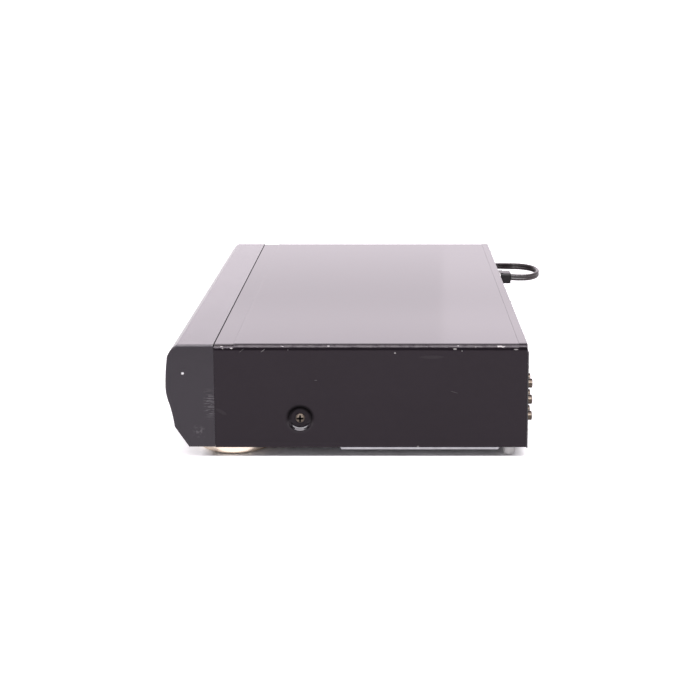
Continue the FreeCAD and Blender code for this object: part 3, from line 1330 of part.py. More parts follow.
def biarc(start, start_way, end, end_way):
    """Two arcs that meet smoothly and leave and arrive in the given directions."""
    across = end - start
    ways = start_way + end_way
    opening = 2 * (1 - start_way.dot(end_way))
    reach = (math.sqrt(across.dot(ways) ** 2 + opening * across.dot(across)) - across.dot(ways)) / opening
    first, second = start + start_way * reach, end - end_way * reach
    meeting = (first + second) / 2
    return [corner_arc(start, first, meeting), corner_arc(meeting, second, end)]


def coil_point(turns):
    """A point of the flat coil: in on the upper layer, down in the half turn that reverses it, and out below."""
    middle = COIL_TURNS / 2
    outer = number(cell("coil_radius"))
    radius = outer - number(cell("coil_step")) * (middle - abs(turns - middle))
    descent = min(max((turns - middle + COIL_TURN_OF_CLIMB) / (2 * COIL_TURN_OF_CLIMB), 0), 1)
    share = (1 - math.cos(math.pi * descent)) / 2
    angle = -2 * math.pi * turns
    centre_x, centre_y = COIL_ENTRY[0] - outer, COIL_ENTRY[1] - number(cell("cord_width"))
    return Vector(centre_x + radius * math.cos(angle), centre_y + radius * math.sin(angle),
                  COIL_LEVELS[0] + share * (COIL_LEVELS[1] - COIL_LEVELS[0]))


def coil_path():
    """Quarter turns as pairs of arcs, with one straight tube diameter at each end."""
    quarters = 4 * COIL_TURNS
    stops = [coil_point(index / 4) for index in range(quarters + 1)]
    ways = [(coil_point(index / 4 + 0.01) - coil_point(index / 4 - 0.01)).normalize()
            for index in range(quarters + 1)]
    straight = Vector(0, -number(cell("cord_width")), 0)
    ways[0] = ways[-1] = Vector(0, -1, 0)
    edges = [Part.LineSegment(stops[0] - straight, stops[0]).toShape()]
    for index in range(quarters):
        edges += biarc(stops[index], ways[index], stops[index + 1], ways[index + 1])
    edges.append(Part.LineSegment(stops[-1], stops[-1] + straight).toShape())
    return edges


def swept_tube(name, edges):
    """A round tube along the edges; prints its volume beside its section times its length."""
    path = Part.Wire(edges)
    radius = number(CORD_RADIUS)
    start = edges[0].valueAt(edges[0].FirstParameter)
    way = edges[0].tangentAt(edges[0].FirstParameter)
    section = Part.Wire([Part.makeCircle(radius, start, way)])
    solid = path.makePipeShell([section], True, False)
    piece = doc.addObject("Part::Feature", f"{name}_shape")
    piece.Shape = solid
    expected = math.pi * radius ** 2 * path.Length
    print(f"{name}: length {path.Length:.1f} mm, volume {solid.Volume:.0f}, section times length {expected:.0f}")
    return piece


def mains_cord():
    exit_point = (INLET_AT[0], number(LEAD_END), INLET_AT[1])
    entry = (*COIL_ENTRY, COIL_LEVELS[0])
    return swept_tube("mains_cord", tangent_path("mains_cord", [exit_point, *CORD_ROUTE, entry]))


def mains_cord_coil():
    edges = coil_path()
    print(f"mains_cord_coil: least gap to itself {least_gap(edges):.2f} mm")
    return swept_tube("mains_cord_coil", edges)


def least_gap(edges):
    """The smallest distance between turns, from points more than a third of a turn apart."""
    points = []
    travelled = 0
    for edge in edges:
        for point in edge.discretize(13)[:-1]:
            points.append((travelled + (point - edge.firstVertex().Point).Length, point))
        travelled += edge.Length
    apart = number(cell("coil_radius")) * 2
    width = number(cell("cord_width"))
    return min((other - point).Length - width for index, (at, point) in enumerate(points)
               for other_at, other in points[index + 1:] if other_at - at > apart)


def mains_cord_tail():
    leaving = coil_path()[-1].lastVertex().Point
    return swept_tube("mains_cord_tail", tangent_path("mains_cord_tail", [tuple(leaving), *TAIL_ROUTE, PLUG_FACE]))


def cord_tie():
    """A flat strap round the turns on the coil's outer side."""
    thickness, width, clearance = 0.5, 6, 0.35
    outer = number(cell("coil_radius"))
    radius = number(CORD_RADIUS) + clearance
    near = COIL_ENTRY[0] - outer - coil_reach(COIL_TURNS / 2) + radius
    far = COIL_ENTRY[0] - outer - coil_reach(COIL_TURNS - 0.5) - radius
    centre_y = COIL_ENTRY[1] - number(cell("cord_width"))
    low, high = 0.55, COIL_LEVELS[0] + radius
    strap = box("strap_outer", (far - thickness, near + thickness), (centre_y - width / 2, centre_y + width / 2),
                (low - thickness, high + thickness))
    inside = box("strap_inner", (far, near), (centre_y - width, centre_y + width), (low, high))
    return cut("strap_loop", strap, inside)


def coil_reach(turns):
    """How far the turn stands from the coil's middle."""
    outer = number(cell("coil_radius"))
    return outer - number(cell("coil_step")) * (COIL_TURNS / 2 - abs(turns - COIL_TURNS / 2))


def plug_body():
    x, y, z = PLUG_FACE
    body = rounded("plug_block_rounded", box("plug_block", (x - 12, x + 12), (y - 32, y - 8), (0.1, 10.9)), 3,
                   runs_along("y"))
    neck = turned("plug_neck", [(0, 0), (CORD_RADIUS, 0), (4.6, 2), (4.6, 4), (5.2, 4.6), (5.2, 8.5), (0, 8.5)],
                  (x, y, z), "-Y")
    return joined("plug", body, neck)


def plug_blades():
    x, y, z = PLUG_FACE
    blades = []
    for index, shift in enumerate((-6.35, 6.35)):
        blade = box(f"blade_{index}", (x + shift - 0.75, x + shift + 0.75), (y - 49, y - 32), (z - 3.15, z + 3.15))
        blades.append(cut(f"blade_drilled_{index}", blade,
                          rod(f"blade_hole_{index}", 1.6, 6, (x + shift - 3, y - 45, z), "+X")))
    return group("blades", *blades)


NODES = {
    "top_cover": top_cover,
    "front_panel": front_panel,
    "display_window": display_window,
    "standby_lens": standby_lens,
    "tray_door": tray_door,
    "chassis_pan": chassis_pan,
    "rear_panel": rear_panel,
    "cover_side_screws": cover_side_screws,
    "cover_rear_screws": cover_rear_screws,
    "rear_panel_screws": rear_panel_screws,
    "foot_screws": foot_screws,
    "loader_frame": loader_frame,
    "disc_tray": disc_tray,
    "tray_gear": pinion,
    "pulley_gear": pulley_gear,
    "motor_pulley": motor_pulley,
    "loading_motor": loading_motor,
    "drive_belt": drive_belt,
    "slide_cam": slide_cam,
    "traverse_frame": traverse_frame,
    "guide_rods": guide_rods,
    "traverse_motors": traverse_motors,
    "turntable": turntable,
    "pickup_sled": pickup_sled,
    "pickup_lens": pickup_lens,
    "feed_gear": feed_gear,
    "clamp_bridge": clamp_bridge,
    "clamper": clamper,
    "power_board": power_board,
    "transformer": transformer,
    "capacitors": capacitors,
    "heat_sink": heat_sink,
    "main_board": main_board,
    "av_board": av_board,
    "phono_sockets": phono_sockets,
    "video_sockets": video_sockets,
    "mains_inlet": mains_inlet,
    "control_boards": control_boards,
    "display_board": display_board,
    "display_tube": display_tube,
    "lead_connector": lead_connector,
    "mains_cord": mains_cord,
    "mains_cord_coil": mains_cord_coil,
    "mains_cord_tail": mains_cord_tail,
    "cord_tie": cord_tie,
    "plug_body": plug_body,
    "plug_blades": plug_blades,
}


def build():
    for name, make in NODES.items():
        node(name, make())
    for name, x, z, width, height in KEYS:
        node(name, key_cap(name, x, z, width, height))
    for side, word in ((-1, "left"), (1, "right")):
        node(f"front_foot_{word}", front_foot(f"foot_{word}", side))
        node(f"foot_ring_{word}", foot_ring(f"ring_{word}", side))
        node(f"rear_foot_{word}", rear_foot(f"peg_{word}", side))
    doc.recompute()


def export():
    for piece in doc.Objects:
        if "Invalid" in piece.State or "Error" in piece.State:
            raise RuntimeError(f"{piece.Name} did not build: {piece.State}")
    os.makedirs("parts", exist_ok=True)
    for name, piece in nodes.items():
        if piece.Shape.isNull() or not piece.Shape.isValid():
            raise RuntimeError(f"{name} is not a valid solid")
        piece.Shape.exportStep(f"parts/{name}.step")
    print(f"{len(nodes)} pieces written")


build()
export()
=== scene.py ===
# %% [markdown]
# A full-width disc player, seen from its right-hand side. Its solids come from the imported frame. This
# script gives every surface its finish, models the mains lead as the flat twin flex that it is, adds
# the coloured inserts of the sockets, and sets a bright studio round it all.
#
# The edges that the finishes are placed by could be written here as numbers. They are read from the
# solids instead, so that a mark stays on its edge when a size changes. X runs to the right of someone
# who faces the front, the front looks along -Y, Z points up, and lengths are in metres.

import json
import math
from collections import namedtuple

import bmesh
import bpy
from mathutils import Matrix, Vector


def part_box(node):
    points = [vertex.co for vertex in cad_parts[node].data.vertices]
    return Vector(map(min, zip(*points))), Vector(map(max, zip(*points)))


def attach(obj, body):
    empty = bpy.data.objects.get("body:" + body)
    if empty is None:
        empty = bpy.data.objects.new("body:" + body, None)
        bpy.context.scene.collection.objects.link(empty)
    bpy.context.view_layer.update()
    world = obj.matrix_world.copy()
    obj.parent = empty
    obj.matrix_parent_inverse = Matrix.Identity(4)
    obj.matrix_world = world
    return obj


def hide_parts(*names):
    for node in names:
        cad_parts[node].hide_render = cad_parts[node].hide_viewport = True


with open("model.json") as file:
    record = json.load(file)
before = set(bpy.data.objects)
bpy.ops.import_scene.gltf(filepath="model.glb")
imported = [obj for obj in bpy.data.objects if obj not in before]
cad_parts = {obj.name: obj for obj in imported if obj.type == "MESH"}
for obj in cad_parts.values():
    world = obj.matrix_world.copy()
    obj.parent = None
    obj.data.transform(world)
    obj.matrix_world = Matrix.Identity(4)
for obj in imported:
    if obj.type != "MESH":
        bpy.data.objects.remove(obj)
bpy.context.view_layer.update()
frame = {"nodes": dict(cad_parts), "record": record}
MM = 0.001
MICRON = 0.000001

front_low, front_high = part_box("front_panel")
FRONT_Y, SEAM_Y = front_low[1], front_high[1]
TOP_Z = front_high[2]
SIDE_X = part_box("top_cover")[1][0]
REAR_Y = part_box("rear_panel")[1][1]
print("front, seam and rear at", [round(y / MM, 1) for y in (FRONT_Y, SEAM_Y, REAR_Y)], "mm")


# %% [markdown]
# Finishes are node trees. They could be drawn by hand in the shader editor, or wired link by link at a
# dozen lines for each sum. Here a small wrapper lets a socket be added, scaled and compared like a
# number, and one method makes any other node, so that a finish reads as a formula.

# %% A socket in sums
class Value:
    """A node's output socket that can be used in sums."""

    def __init__(self, nodes, socket):
        self.nodes = nodes
        self.socket = socket

    def math(self, operation, *others):
        return self.nodes.math(operation, self, *others)

    def __add__(self, other):
        return self.math("ADD", other)

    def __sub__(self, other):
        return self.math("SUBTRACT", other)

    def __mul__(self, other):
        return self.math("MULTIPLY", other)

    def __truediv__(self, other):
        return self.math("DIVIDE", other)

    def __radd__(self, other):
        return self + other

    def __rmul__(self, other):
        return self * other

    def __rsub__(self, other):
        return self.nodes.math("SUBTRACT", other, self)

    def __abs__(self):
        return self.math("ABSOLUTE")

    def above(self, level, soft):
        """0 below the level and 1 above it, over a soft step."""
        edges = {"From_Min": level - soft, "From_Max": level + soft}
        return self.nodes.node("ShaderNodeMapRange", Value=self, **edges)

    def below(self, level, soft):
        return 1 - self.above(level, soft)

    def between(self, low, high, soft):
        return self.above(low, soft) * self.below(high, soft)

    def highest(self, other):
        return self.math("MAXIMUM", other)


def radius(across, up):
    """How far a point is from a middle, from its two distances to it."""
    return (across * across + up * up).math("SQRT")


print("sums on sockets: + - * / abs, above, below, between, highest, radius")


# %% A tree of nodes
class Nodes:
    """A node tree whose sockets are fed with Values and constants."""

    # The Mix node has sockets for every kind of data; these are its factor and its two colours.
    MIX_FACTOR, MIX_LOW, MIX_HIGH, MIX_RESULT = 0, 6, 7, 2

    def __init__(self, tree):
        self.tree = tree

    def put(self, socket, value):
        """Link a Value to the socket, or set a constant on it."""
        if isinstance(value, Value):
            self.tree.links.new(value.socket, socket)
        elif socket.type == "RGBA":
            socket.default_value = (*value[:3], 1)
        else:
            socket.default_value = value

    def feed(self, node, **inputs):
        for name, value in inputs.items():
            self.put(node.inputs[name.replace("_", " ")], value)

    def node(self, kind, output=0, settings=(), numbered=(), **inputs):
        """Any node: first its settings, then its inputs by number or by name."""
        node = self.tree.nodes.new(kind)
        for name, value in dict(settings).items():
            setattr(node, name, value)
        for number, value in dict(numbered).items():
            self.put(node.inputs[number], value)
        self.feed(node, **inputs)
        return Value(self, node.outputs[output])

    def math(self, operation, *values):
        return self.node("ShaderNodeMath", settings={"operation": operation}, numbered=enumerate(values))

    def mix(self, share, low, high):
        """The low colour where the share is 0, and the high one where it is 1."""
        sockets = {self.MIX_FACTOR: share, self.MIX_LOW: low, self.MIX_HIGH: high}
        return self.node("ShaderNodeMix", self.MIX_RESULT, {"data_type": "RGBA"}, sockets)

    def split(self, vector):
        """The three parts of a vector."""
        first = self.node("ShaderNodeSeparateXYZ", Vector=vector)
        return [Value(self, socket) for socket in first.socket.node.outputs]

    def place(self):
        """The point in the frame's own axes, in metres."""
        return self.node("ShaderNodeTexCoord", output="Object")

    def axes(self):
        return self.split(self.place())

    def stretched(self, stretch):
        return self.node("ShaderNodeMapping", Vector=self.place(), Scale=stretch)

    def noise(self, scale, detail, stretch=(1, 1, 1)):
        spot = self.stretched(stretch)
        return self.node("ShaderNodeTexNoise", Vector=spot, Scale=scale, Detail=detail, Roughness=0.55)

    def cells(self, scale, stretch=(1, 1, 1)):
        return self.node("ShaderNodeTexVoronoi", Vector=self.stretched(stretch), Scale=scale)


print("the Mix node takes its colours at inputs", Nodes.MIX_LOW, "and", Nodes.MIX_HIGH)

# %% A finish
DEAD_BLACK = (0.002, 0.002, 0.002)


class Finish(Nodes):
    """A material with one Principled shader."""

    def __init__(self, name, colour, roughness, **constants):
        self.material = bpy.data.materials.new(name)
        self.material.use_nodes = True
        self.material.diffuse_color = (*colour, 1)
        super().__init__(self.material.node_tree)
        self.shader = self.tree.nodes["Principled BSDF"]
        self.set(Base_Color=colour, Roughness=roughness, **constants)

    def set(self, **inputs):
        self.feed(self.shader, **inputs)

    def fed(self, name):
        """The Value that an input of the shader is linked to."""
        return Value(self, self.shader.inputs[name].links[0].from_socket)

    def relief(self, height, distance):
        return self.node("ShaderNodeBump", Height=height, Distance=distance, Strength=1.0)

    def paint_shade(self, share):
        """Let a share of dead black through: painted shade for hollows that the light doesn't reach."""
        black = self.node("ShaderNodeBsdfDiffuse", Color=DEAD_BLACK)
        lit = Value(self, self.shader.outputs[0])
        both = self.node("ShaderNodeMixShader", numbered={0: share, 1: lit, 2: black})
        self.feed(self.tree.nodes["Material Output"], Surface=both)


FINISHES = {}
print("dead black reflects", DEAD_BLACK[0], "of the light")


# %% [markdown]
# Most of the player is plated steel or moulded plastic. Either could be one flat colour, but it would
# look dead: real metal has a faint mottle, and real plastic has a moulded grain and a gloss that
# handling has made uneven. Two functions give those, and a surface gets a finish of its own only where
# the real one has more to show.

# %% Steel and plastic
def tint(colour, share):
    """The colour made darker or lighter, but never past white."""
    return tuple(min(1, share * part) for part in colour)


def steel(name, colour, roughness, grain=900):
    """Bare or plated metal with a faint mottle."""
    finish = Finish(name, colour, roughness, Metallic=1.0)
    mottle = finish.noise(grain, 4)
    finish.set(
        Base_Color=finish.mix(mottle, tint(colour, 0.82), tint(colour, 1.1)),
        Roughness=mottle * 0.2 + (roughness - 0.1),
        Normal=finish.relief(mottle, 30 * MICRON),
    )
    return finish


def plastic(name, colour, roughness, grain=2600, depth=30 * MICRON, **constants):
    """Moulded plastic with a fine grain and slightly uneven gloss."""
    finish = Finish(name, colour, roughness, **constants)
    texture = finish.noise(grain, 2)
    handling = finish.noise(28, 3)
    finish.set(
        Base_Color=finish.mix(handling, tint(colour, 0.86), tint(colour, 1.12)),
        Roughness=handling * 0.12 + (roughness - 0.06),
        Normal=finish.relief(texture, depth),
    )
    return finish


FINISHES.update({
    "rear_paint": plastic("rear_paint", (0.035, 0.032, 0.035), 0.42, 1500),
    "key_plastic": plastic("key_plastic", (0.05, 0.044, 0.051), 0.4, 3200, 20 * MICRON),
    "foot_plastic": plastic("foot_plastic", (0.03, 0.028, 0.03), 0.5),
    "foot_rubber": plastic("foot_rubber", (0.74, 0.73, 0.72), 0.7, 1500, 60 * MICRON),
    "loader_plastic": plastic("loader_plastic", (0.08, 0.08, 0.082), 0.5),
    "tray_plastic": plastic("tray_plastic", (0.055, 0.055, 0.058), 0.42, 3000),
    "gear_plastic": plastic("gear_plastic", (0.78, 0.77, 0.72), 0.4),
    "platform": plastic("platform", (0.05, 0.05, 0.052), 0.4),
    "belt_rubber": plastic("belt_rubber", (0.02, 0.02, 0.02), 0.75),
    "lens_glass": plastic("lens_glass", (0.1, 0.13, 0.22), 0.15, 2000, 10 * MICRON),
    "tube_glass": plastic("tube_glass", (0.05, 0.08, 0.08), 0.12, 900, 10 * MICRON),
    "can_sleeve": plastic("can_sleeve", (0.02, 0.03, 0.09), 0.25),
    "plug_black": plastic("plug_black", (0.01, 0.008, 0.009), 0.4, Specular_IOR_Level=0.25),
    "motor_steel": steel("motor_steel", (0.6, 0.6, 0.6), 0.3),
    "rod_steel": steel("rod_steel", (0.75, 0.75, 0.76), 0.15),
    "sink_alloy": steel("sink_alloy", (0.68, 0.68, 0.69), 0.35, 600),
    "blade_brass": steel("blade_brass", (0.78, 0.72, 0.55), 0.25),
})
print("plain plastics and metals:", len(FINISHES))


# %% [markdown]
# The cover is folded sheet steel with a glossy black stoved paint. The paint is smooth with a faint
# orange peel, and it is chipped to light metal along the folded edges, where handling always starts.
# One noise over the whole cover could scatter the chips. The larger ones are listed instead,
# near the places where the photograph has them, and noise only makes their outlines ragged.

# %% Chips in the paint
Chip = namedtuple("Chip", "y z half_length half_height slope bareness")

# The marks on the right-hand face: millimetres, then the slope and how far the paint is off.
COVER_CHIPS = [
    Chip(-109.8, 96.2, 0.8, 0.6, 0, 0.6),
    Chip(-102.4, 96.5, 1.2, 0.7, 0, 0.9),
    Chip(-93.7, 94.6, 2.6, 0.26, 0.73, 0.16),
    Chip(-75.4, 94.6, 2.0, 0.28, 0.74, 0.4),
    Chip(-54.4, 95.1, 0.7, 0.6, 0, 0.12),
    Chip(-20.0, 98.3, 1.4, 0.6, 0, 0.5),
    Chip(-30.9, 68.4, 1.6, 0.4, 0, 0.07),
    Chip(36.6, 92.4, 1.1, 0.9, 0, 0.4),
    Chip(87.5, 95.9, 1.8, 0.8, 0, 0.6),
    Chip(93.5, 94.2, 0.7, 0.6, 0, 0.4),
    Chip(139.3, 95.5, 2.2, 0.6, 0, 0.5),
    Chip(56.4, 9.7, 1.2, 0.6, 0, 0.3),
    Chip(-112.0, 40.6, 5.5, 2.2, -0.5, 0.012),
    Chip(68.0, 88.8, 13.0, 1.8, 0, 0.014),
    Chip(87.0, 58.0, 4.0, 0.4, -0.3, 0.05),
]


def chip_shape(finish, axes, chip):
    """1 inside a small ragged patch on the right-hand face."""
    x, y, z = axes
    past = y - chip.y * MM
    along = past / (chip.half_length * MM)
    up = (z - past * chip.slope - chip.z * MM) / (chip.half_height * MM)
    ragged = finish.noise(2200, 2) * 0.9
    return (radius(along, up) + ragged).below(1.25, 0.12) * x.above(SIDE_X - 4 * MM, 0.5 * MM)


def fold_wear(finish, axes):
    """Small nicks, and a rubbed line, along the fold between the side and the lid."""
    x, _, z = axes
    fold = z.between(TOP_Z - 2.2 * MM, TOP_Z - 0.4 * MM, 0.3 * MM) * x.above(SIDE_X - 1.8 * MM, 0.4 * MM)
    nicks = fold * finish.noise(260, 3, stretch=(1, 0.35, 1)).above(0.69, 0.02)
    rubbed = fold * finish.noise(120, 3).above(0.42, 0.12) * 0.22
    return nicks, rubbed


print("chips in the cover:", len(COVER_CHIPS))

# %% Dish round the side screw
DISH_Y, DISH_Z = [(low + high) / 2 for low, high in zip(*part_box("cover_side_screws"))][1:]
DISH_RIM, DISH_FLOOR = 12 * MM, 7.7 * MM


def screw_dish(axes):
    """1 over the dish that is pressed into each side, and 1 outside the dish's flat floor."""
    x, y, z = axes
    out = radius(y - DISH_Y, z - DISH_Z)
    dish = out.below(DISH_RIM, 1 * MM) * abs(x).above(SIDE_X - 5 * MM, 1 * MM)
    return dish, out.above(DISH_FLOOR, 0.5 * MM)


print("screw dish at", [round(value / MM, 1) for value in (DISH_Y, DISH_Z)], "mm")

# %% Cover paint
PAINT, PAINT_CLOUD = (0.014, 0.011, 0.014), (0.019, 0.015, 0.019)
RUBBED_EDGE = (0.35, 0.33, 0.33)
BARE_STEEL = (0.72, 0.7, 0.68)
# The pale colour of a painted highlight along the edge of the lid's lowered strip.
STRIP_EDGE_HIGHLIGHT = (0.045, 0.042, 0.045)


def cover_paint():
    finish = Finish("cover_paint", PAINT, 0.2, Specular_IOR_Level=0.19, Specular_Tint=(1, 0.88, 0.97))
    axes = finish.axes()
    x, y, z = axes
    cloud = finish.noise(9, 4)
    peel = finish.noise(420, 2)
    streaks = finish.noise(60, 4, stretch=(0.06, 3, 1))

    bare, rubbed = fold_wear(finish, axes)
    for chip in COVER_CHIPS:
        bare = bare.highest(chip_shape(finish, axes, chip) * chip.bareness)

    dish, off_floor = screw_dish(axes)
    bright_wall = dish * off_floor * z.below(DISH_Z - 3 * MM, 2 * MM)
    # Painted shade: dead black is let through a little over the whole dish, and most on its upper wall
    # outside the flat floor.
    finish.paint_shade(dish * (0.2 + off_floor * z.above(DISH_Z, 6 * MM) * 0.6))

    lid = z.above(TOP_Z - 1 * MM, 0.2 * MM)
    seam = lid * y.below(SEAM_Y + 0.4 * MM, 0.2 * MM)
    # Painted highlight: a pale line across the lid 17 mm behind the seam, where the edge of the lowered
    # strip would catch the light.
    strip_edge_highlight = lid * y.between(SEAM_Y + 17.2 * MM, SEAM_Y + 18.2 * MM, 0.3 * MM)
    crease_dark = lid * y.between(SEAM_Y + 16.0 * MM, SEAM_Y + 16.8 * MM, 0.3 * MM)
    bow = z.above(TOP_Z - 3.6 * MM, 1.2 * MM) * abs(x).above(SIDE_X - 4 * MM, 0.5 * MM)

    worn = finish.mix(rubbed, finish.mix(cloud, PAINT, PAINT_CLOUD), RUBBED_EDGE)
    highlighted = finish.mix(strip_edge_highlight, finish.mix(bare, worn, BARE_STEEL), STRIP_EDGE_HIGHLIGHT)
    paint_roughness = (cloud * 0.03 + streaks * 0.01 + 0.08) * (1 - dish * 0.4)
    finish.set(
        Base_Color=finish.mix(seam, highlighted, DEAD_BLACK),
        Roughness=paint_roughness + bare * 0.2 + crease_dark * 0.1 + seam,
        Coat_Weight=bright_wall * 0.55,
        Normal=finish.relief(peel * 0.6 + bare * -0.6 + bow * -20, 20 * MICRON),
    )
    return finish


FINISHES["cover_paint"] = cover_paint()
print("cover paint has", len(FINISHES["cover_paint"].tree.nodes), "nodes")


# %% [markdown]
# The front is a moulding in dark charcoal with a fine spark-eroded grain, and the same moulding makes
# the door that rides on the tray. Its end cheek is scuffed near the seam: a comb of short upright
# scratches, a broken patch lower down and one small hole that shows white. Separate patches with
# their own noise keep these apart, where one mask over the whole cheek would blur them.

# %% Front moulding
CHARCOAL = (0.04, 0.036, 0.042)
CHARCOAL_DARK, CHARCOAL_LIGHT = (0.034, 0.031, 0.036), (0.043, 0.039, 0.045)
SCUFF_GREY = (0.32, 0.31, 0.32)
HOLE_WHITE = (0.95, 0.95, 0.95)
CHEEK_HOLE = Chip(-144.3, 74.5, 1.35, 1.35, 0, 1)
COMB_Y, COMB_Z = (-125.5 * MM, SEAM_Y - 0.4 * MM), (37.7 * MM, 57.2 * MM)
BROKEN_Y, BROKEN_Z = (-134.7 * MM, -128.0 * MM), (19.9 * MM, 27.0 * MM)


def cheek_scuffs(finish, axes):
    """The comb of scratches beside the seam, and the broken patch below it."""
    x, y, z = axes
    comb = finish.noise(900, 2, stretch=(1, 0.14, 1.1)).above(0.54, 0.06)
    comb_patch = y.between(*COMB_Y, 2.2 * MM) * z.between(*COMB_Z, 5 * MM)
    broken = finish.noise(330, 3).above(0.55, 0.07)
    broken_patch = y.between(*BROKEN_Y, 3 * MM) * z.between(*BROKEN_Z, 3 * MM)
    cheek = x.above(SIDE_X - 3.5 * MM, 0.6 * MM)
    return cheek * (comb * comb_patch * 0.55 + broken * broken_patch * 0.7)


def front_moulding():
    finish = Finish("front_moulding", CHARCOAL, 0.3, Specular_IOR_Level=0.26, Specular_Tint=(1, 0.93, 1))
    axes = finish.axes()
    x, y, z = axes
    grain = finish.noise(3400, 2)
    broad = finish.noise(14, 3)
    scuffs = cheek_scuffs(finish, axes)
    rim = x.between(SIDE_X - 1.4 * MM, SIDE_X - 0.3 * MM, 0.3 * MM) * broad.above(0.35, 0.2) * 0.32
    seam = y.above(SEAM_Y - 0.3 * MM, 0.2 * MM) * z.above(TOP_Z - 4 * MM, 1 * MM)

    charcoal = finish.mix(broad, CHARCOAL_DARK, CHARCOAL_LIGHT)
    scuffed = finish.mix((scuffs * 0.42 + rim).math("MINIMUM", 1), charcoal, SCUFF_GREY)
    holed = finish.mix(chip_shape(finish, axes, CHEEK_HOLE), scuffed, HOLE_WHITE)
    finish.set(
        Base_Color=finish.mix(seam, holed, DEAD_BLACK),
        Roughness=broad * 0.06 + 0.17 + scuffs * 0.3 + seam,
        Normal=finish.relief(grain + scuffs * 0.5, 30 * MICRON),
    )
    return finish


FINISHES["front_moulding"] = front_moulding()
print("front moulding has", len(FINISHES["front_moulding"].tree.nodes), "nodes")


# %% [markdown]
# In the front sit a smoked window and a small red indicator lens. Real glass with refraction would
# need more light paths and show little more. A glossy tint that lets about a sixth of the light
# through, and a red with depth in its colour, look much the same from outside and render quickly.

# %% Window and indicator
def window_tint():
    """Smoked polycarbonate: nearly black, glossy, and a little see-through."""
    finish = Finish("window_tint", (0.02, 0.021, 0.024), 0.08, Coat_Weight=0.4, Coat_Roughness=0.05)
    haze = finish.noise(40, 3)
    finish.set(Roughness=haze * 0.06 + 0.05, Alpha=haze * 0.06 + 0.8)
    return finish


def lens_red():
    finish = Finish("lens_red", (0.35, 0.02, 0.02), 0.2, Coat_Weight=0.5)
    depth = finish.noise(900, 2)
    finish.set(Base_Color=finish.mix(depth, (0.26, 0.012, 0.012), (0.42, 0.03, 0.03)))
    return finish


FINISHES["window_tint"] = window_tint()
FINISHES["lens_red"] = lens_red()
print("window and indicator done, finishes so far:", len(FINISHES))


# %% [markdown]
# All the screws share one material slot, but they don't look the same: those in the sides are browned
# steel with a dark cross recess, and those at the rear are bright zinc. A second material
# would do it too, but it would need a slot of its own. Here a step in Y tells the two kinds apart, and
# a cross that is drawn in the material gives the recess its painted shade.

# %% Screws
BROWNED, ZINC = (0.13, 0.105, 0.085), (0.8, 0.79, 0.78)
# Painted shade: the colour that the drawn cross recess is darkened to.
RECESS_SHADE = (0.012, 0.01, 0.01)
RECESS_REACH, RECESS_HALF_WIDTH = 3 * MM, 0.8 * MM


def screw_finish():
    finish = steel("black_screw", BROWNED, 0.52, 1500)
    _, y, z = finish.axes()
    along, up = abs(y - DISH_Y), abs(z - DISH_Z)
    arms = along.below(RECESS_HALF_WIDTH, 0.3 * MM).highest(up.below(RECESS_HALF_WIDTH, 0.3 * MM))
    recess = arms * radius(along, up).below(RECESS_REACH, 0.3 * MM)
    # Painted shade: the cross recess, which isn't modelled, is drawn dark, and dead black is let through
    # there.
    finish.paint_shade(recess)
    plated = finish.mix(y.above(REAR_Y - 3 * MM, 1 * MM), finish.fed("Base Color"), ZINC)
    finish.set(
        Base_Color=finish.mix(recess, plated, RECESS_SHADE),
        Metallic=1 - recess,
    )
    return finish


FINISHES["black_screw"] = screw_finish()
print("cross recess reaches", RECESS_REACH / MM, "mm from the screw's middle")


# %% [markdown]
# Sheet steel that isn't painted keeps its zinc spangle: grey cells a few millimetres across, each of
# slightly different brightness, which a cell texture gives directly. The front feet carry a metallised
# champagne ring. Its turning marks come from a noise that is squeezed upright and drawn out level, so
# that it runs round the ring without a map of its surface.

# %% Pan and foot rings
def galvanised():
    finish = Finish("galvanised", (0.34, 0.34, 0.35), 0.38, Metallic=0.9)
    spangle = finish.cells(170)
    drift = finish.noise(30, 4)
    zinc = finish.mix(spangle, (0.27, 0.27, 0.285), (0.4, 0.4, 0.42))
    finish.set(
        Base_Color=finish.mix(drift * 0.5, zinc, (0.34, 0.34, 0.355)),
        Roughness=drift * 0.2 + 0.28,
        Normal=finish.relief(spangle, 30 * MICRON),
    )
    return finish


def champagne():
    finish = Finish("champagne", (0.88, 0.76, 0.64), 0.2, Metallic=0.95)
    turning_marks = finish.noise(1500, 2, stretch=(0.02, 0.02, 1))
    drift = finish.noise(20, 3)
    finish.set(
        Base_Color=finish.mix(drift, (0.78, 0.65, 0.53), (0.86, 0.75, 0.63)),
        Roughness=turning_marks * 0.12 + 0.12,
        Normal=finish.relief(turning_marks, 20 * MICRON),
    )
    return finish


FINISHES["galvanised"] = galvanised()
FINISHES["champagne"] = champagne()
print("pan and foot rings done, finishes so far:", len(FINISHES))


# %% [markdown]
# Inside are green circuit boards, whose copper tracks show as paler lines under the lacquer, and a
# transformer of thin varnished steel sheets. Modelled tracks and sheets would take thousands of
# faces that nobody sees. Bands round the middles of a cell texture's cells stand for the tracks, and
# a noise that varies in one direction only stands for the stack of sheets.

# %% Boards and transformer
def board_green():
    finish = Finish("board_green", (0.03, 0.16, 0.07), 0.35, Coat_Weight=0.3)
    tracks = finish.cells(160, (1, 1, 0.01)).between(0.28, 0.36, 0.02)
    drift = finish.noise(60, 3)
    lacquer = finish.mix(drift, (0.022, 0.12, 0.05), (0.035, 0.17, 0.08))
    finish.set(
        Base_Color=finish.mix(tracks, lacquer, (0.07, 0.27, 0.13)),
        Roughness=drift * 0.1 + 0.28,
        Normal=finish.relief(tracks, 40 * MICRON),
    )
    return finish


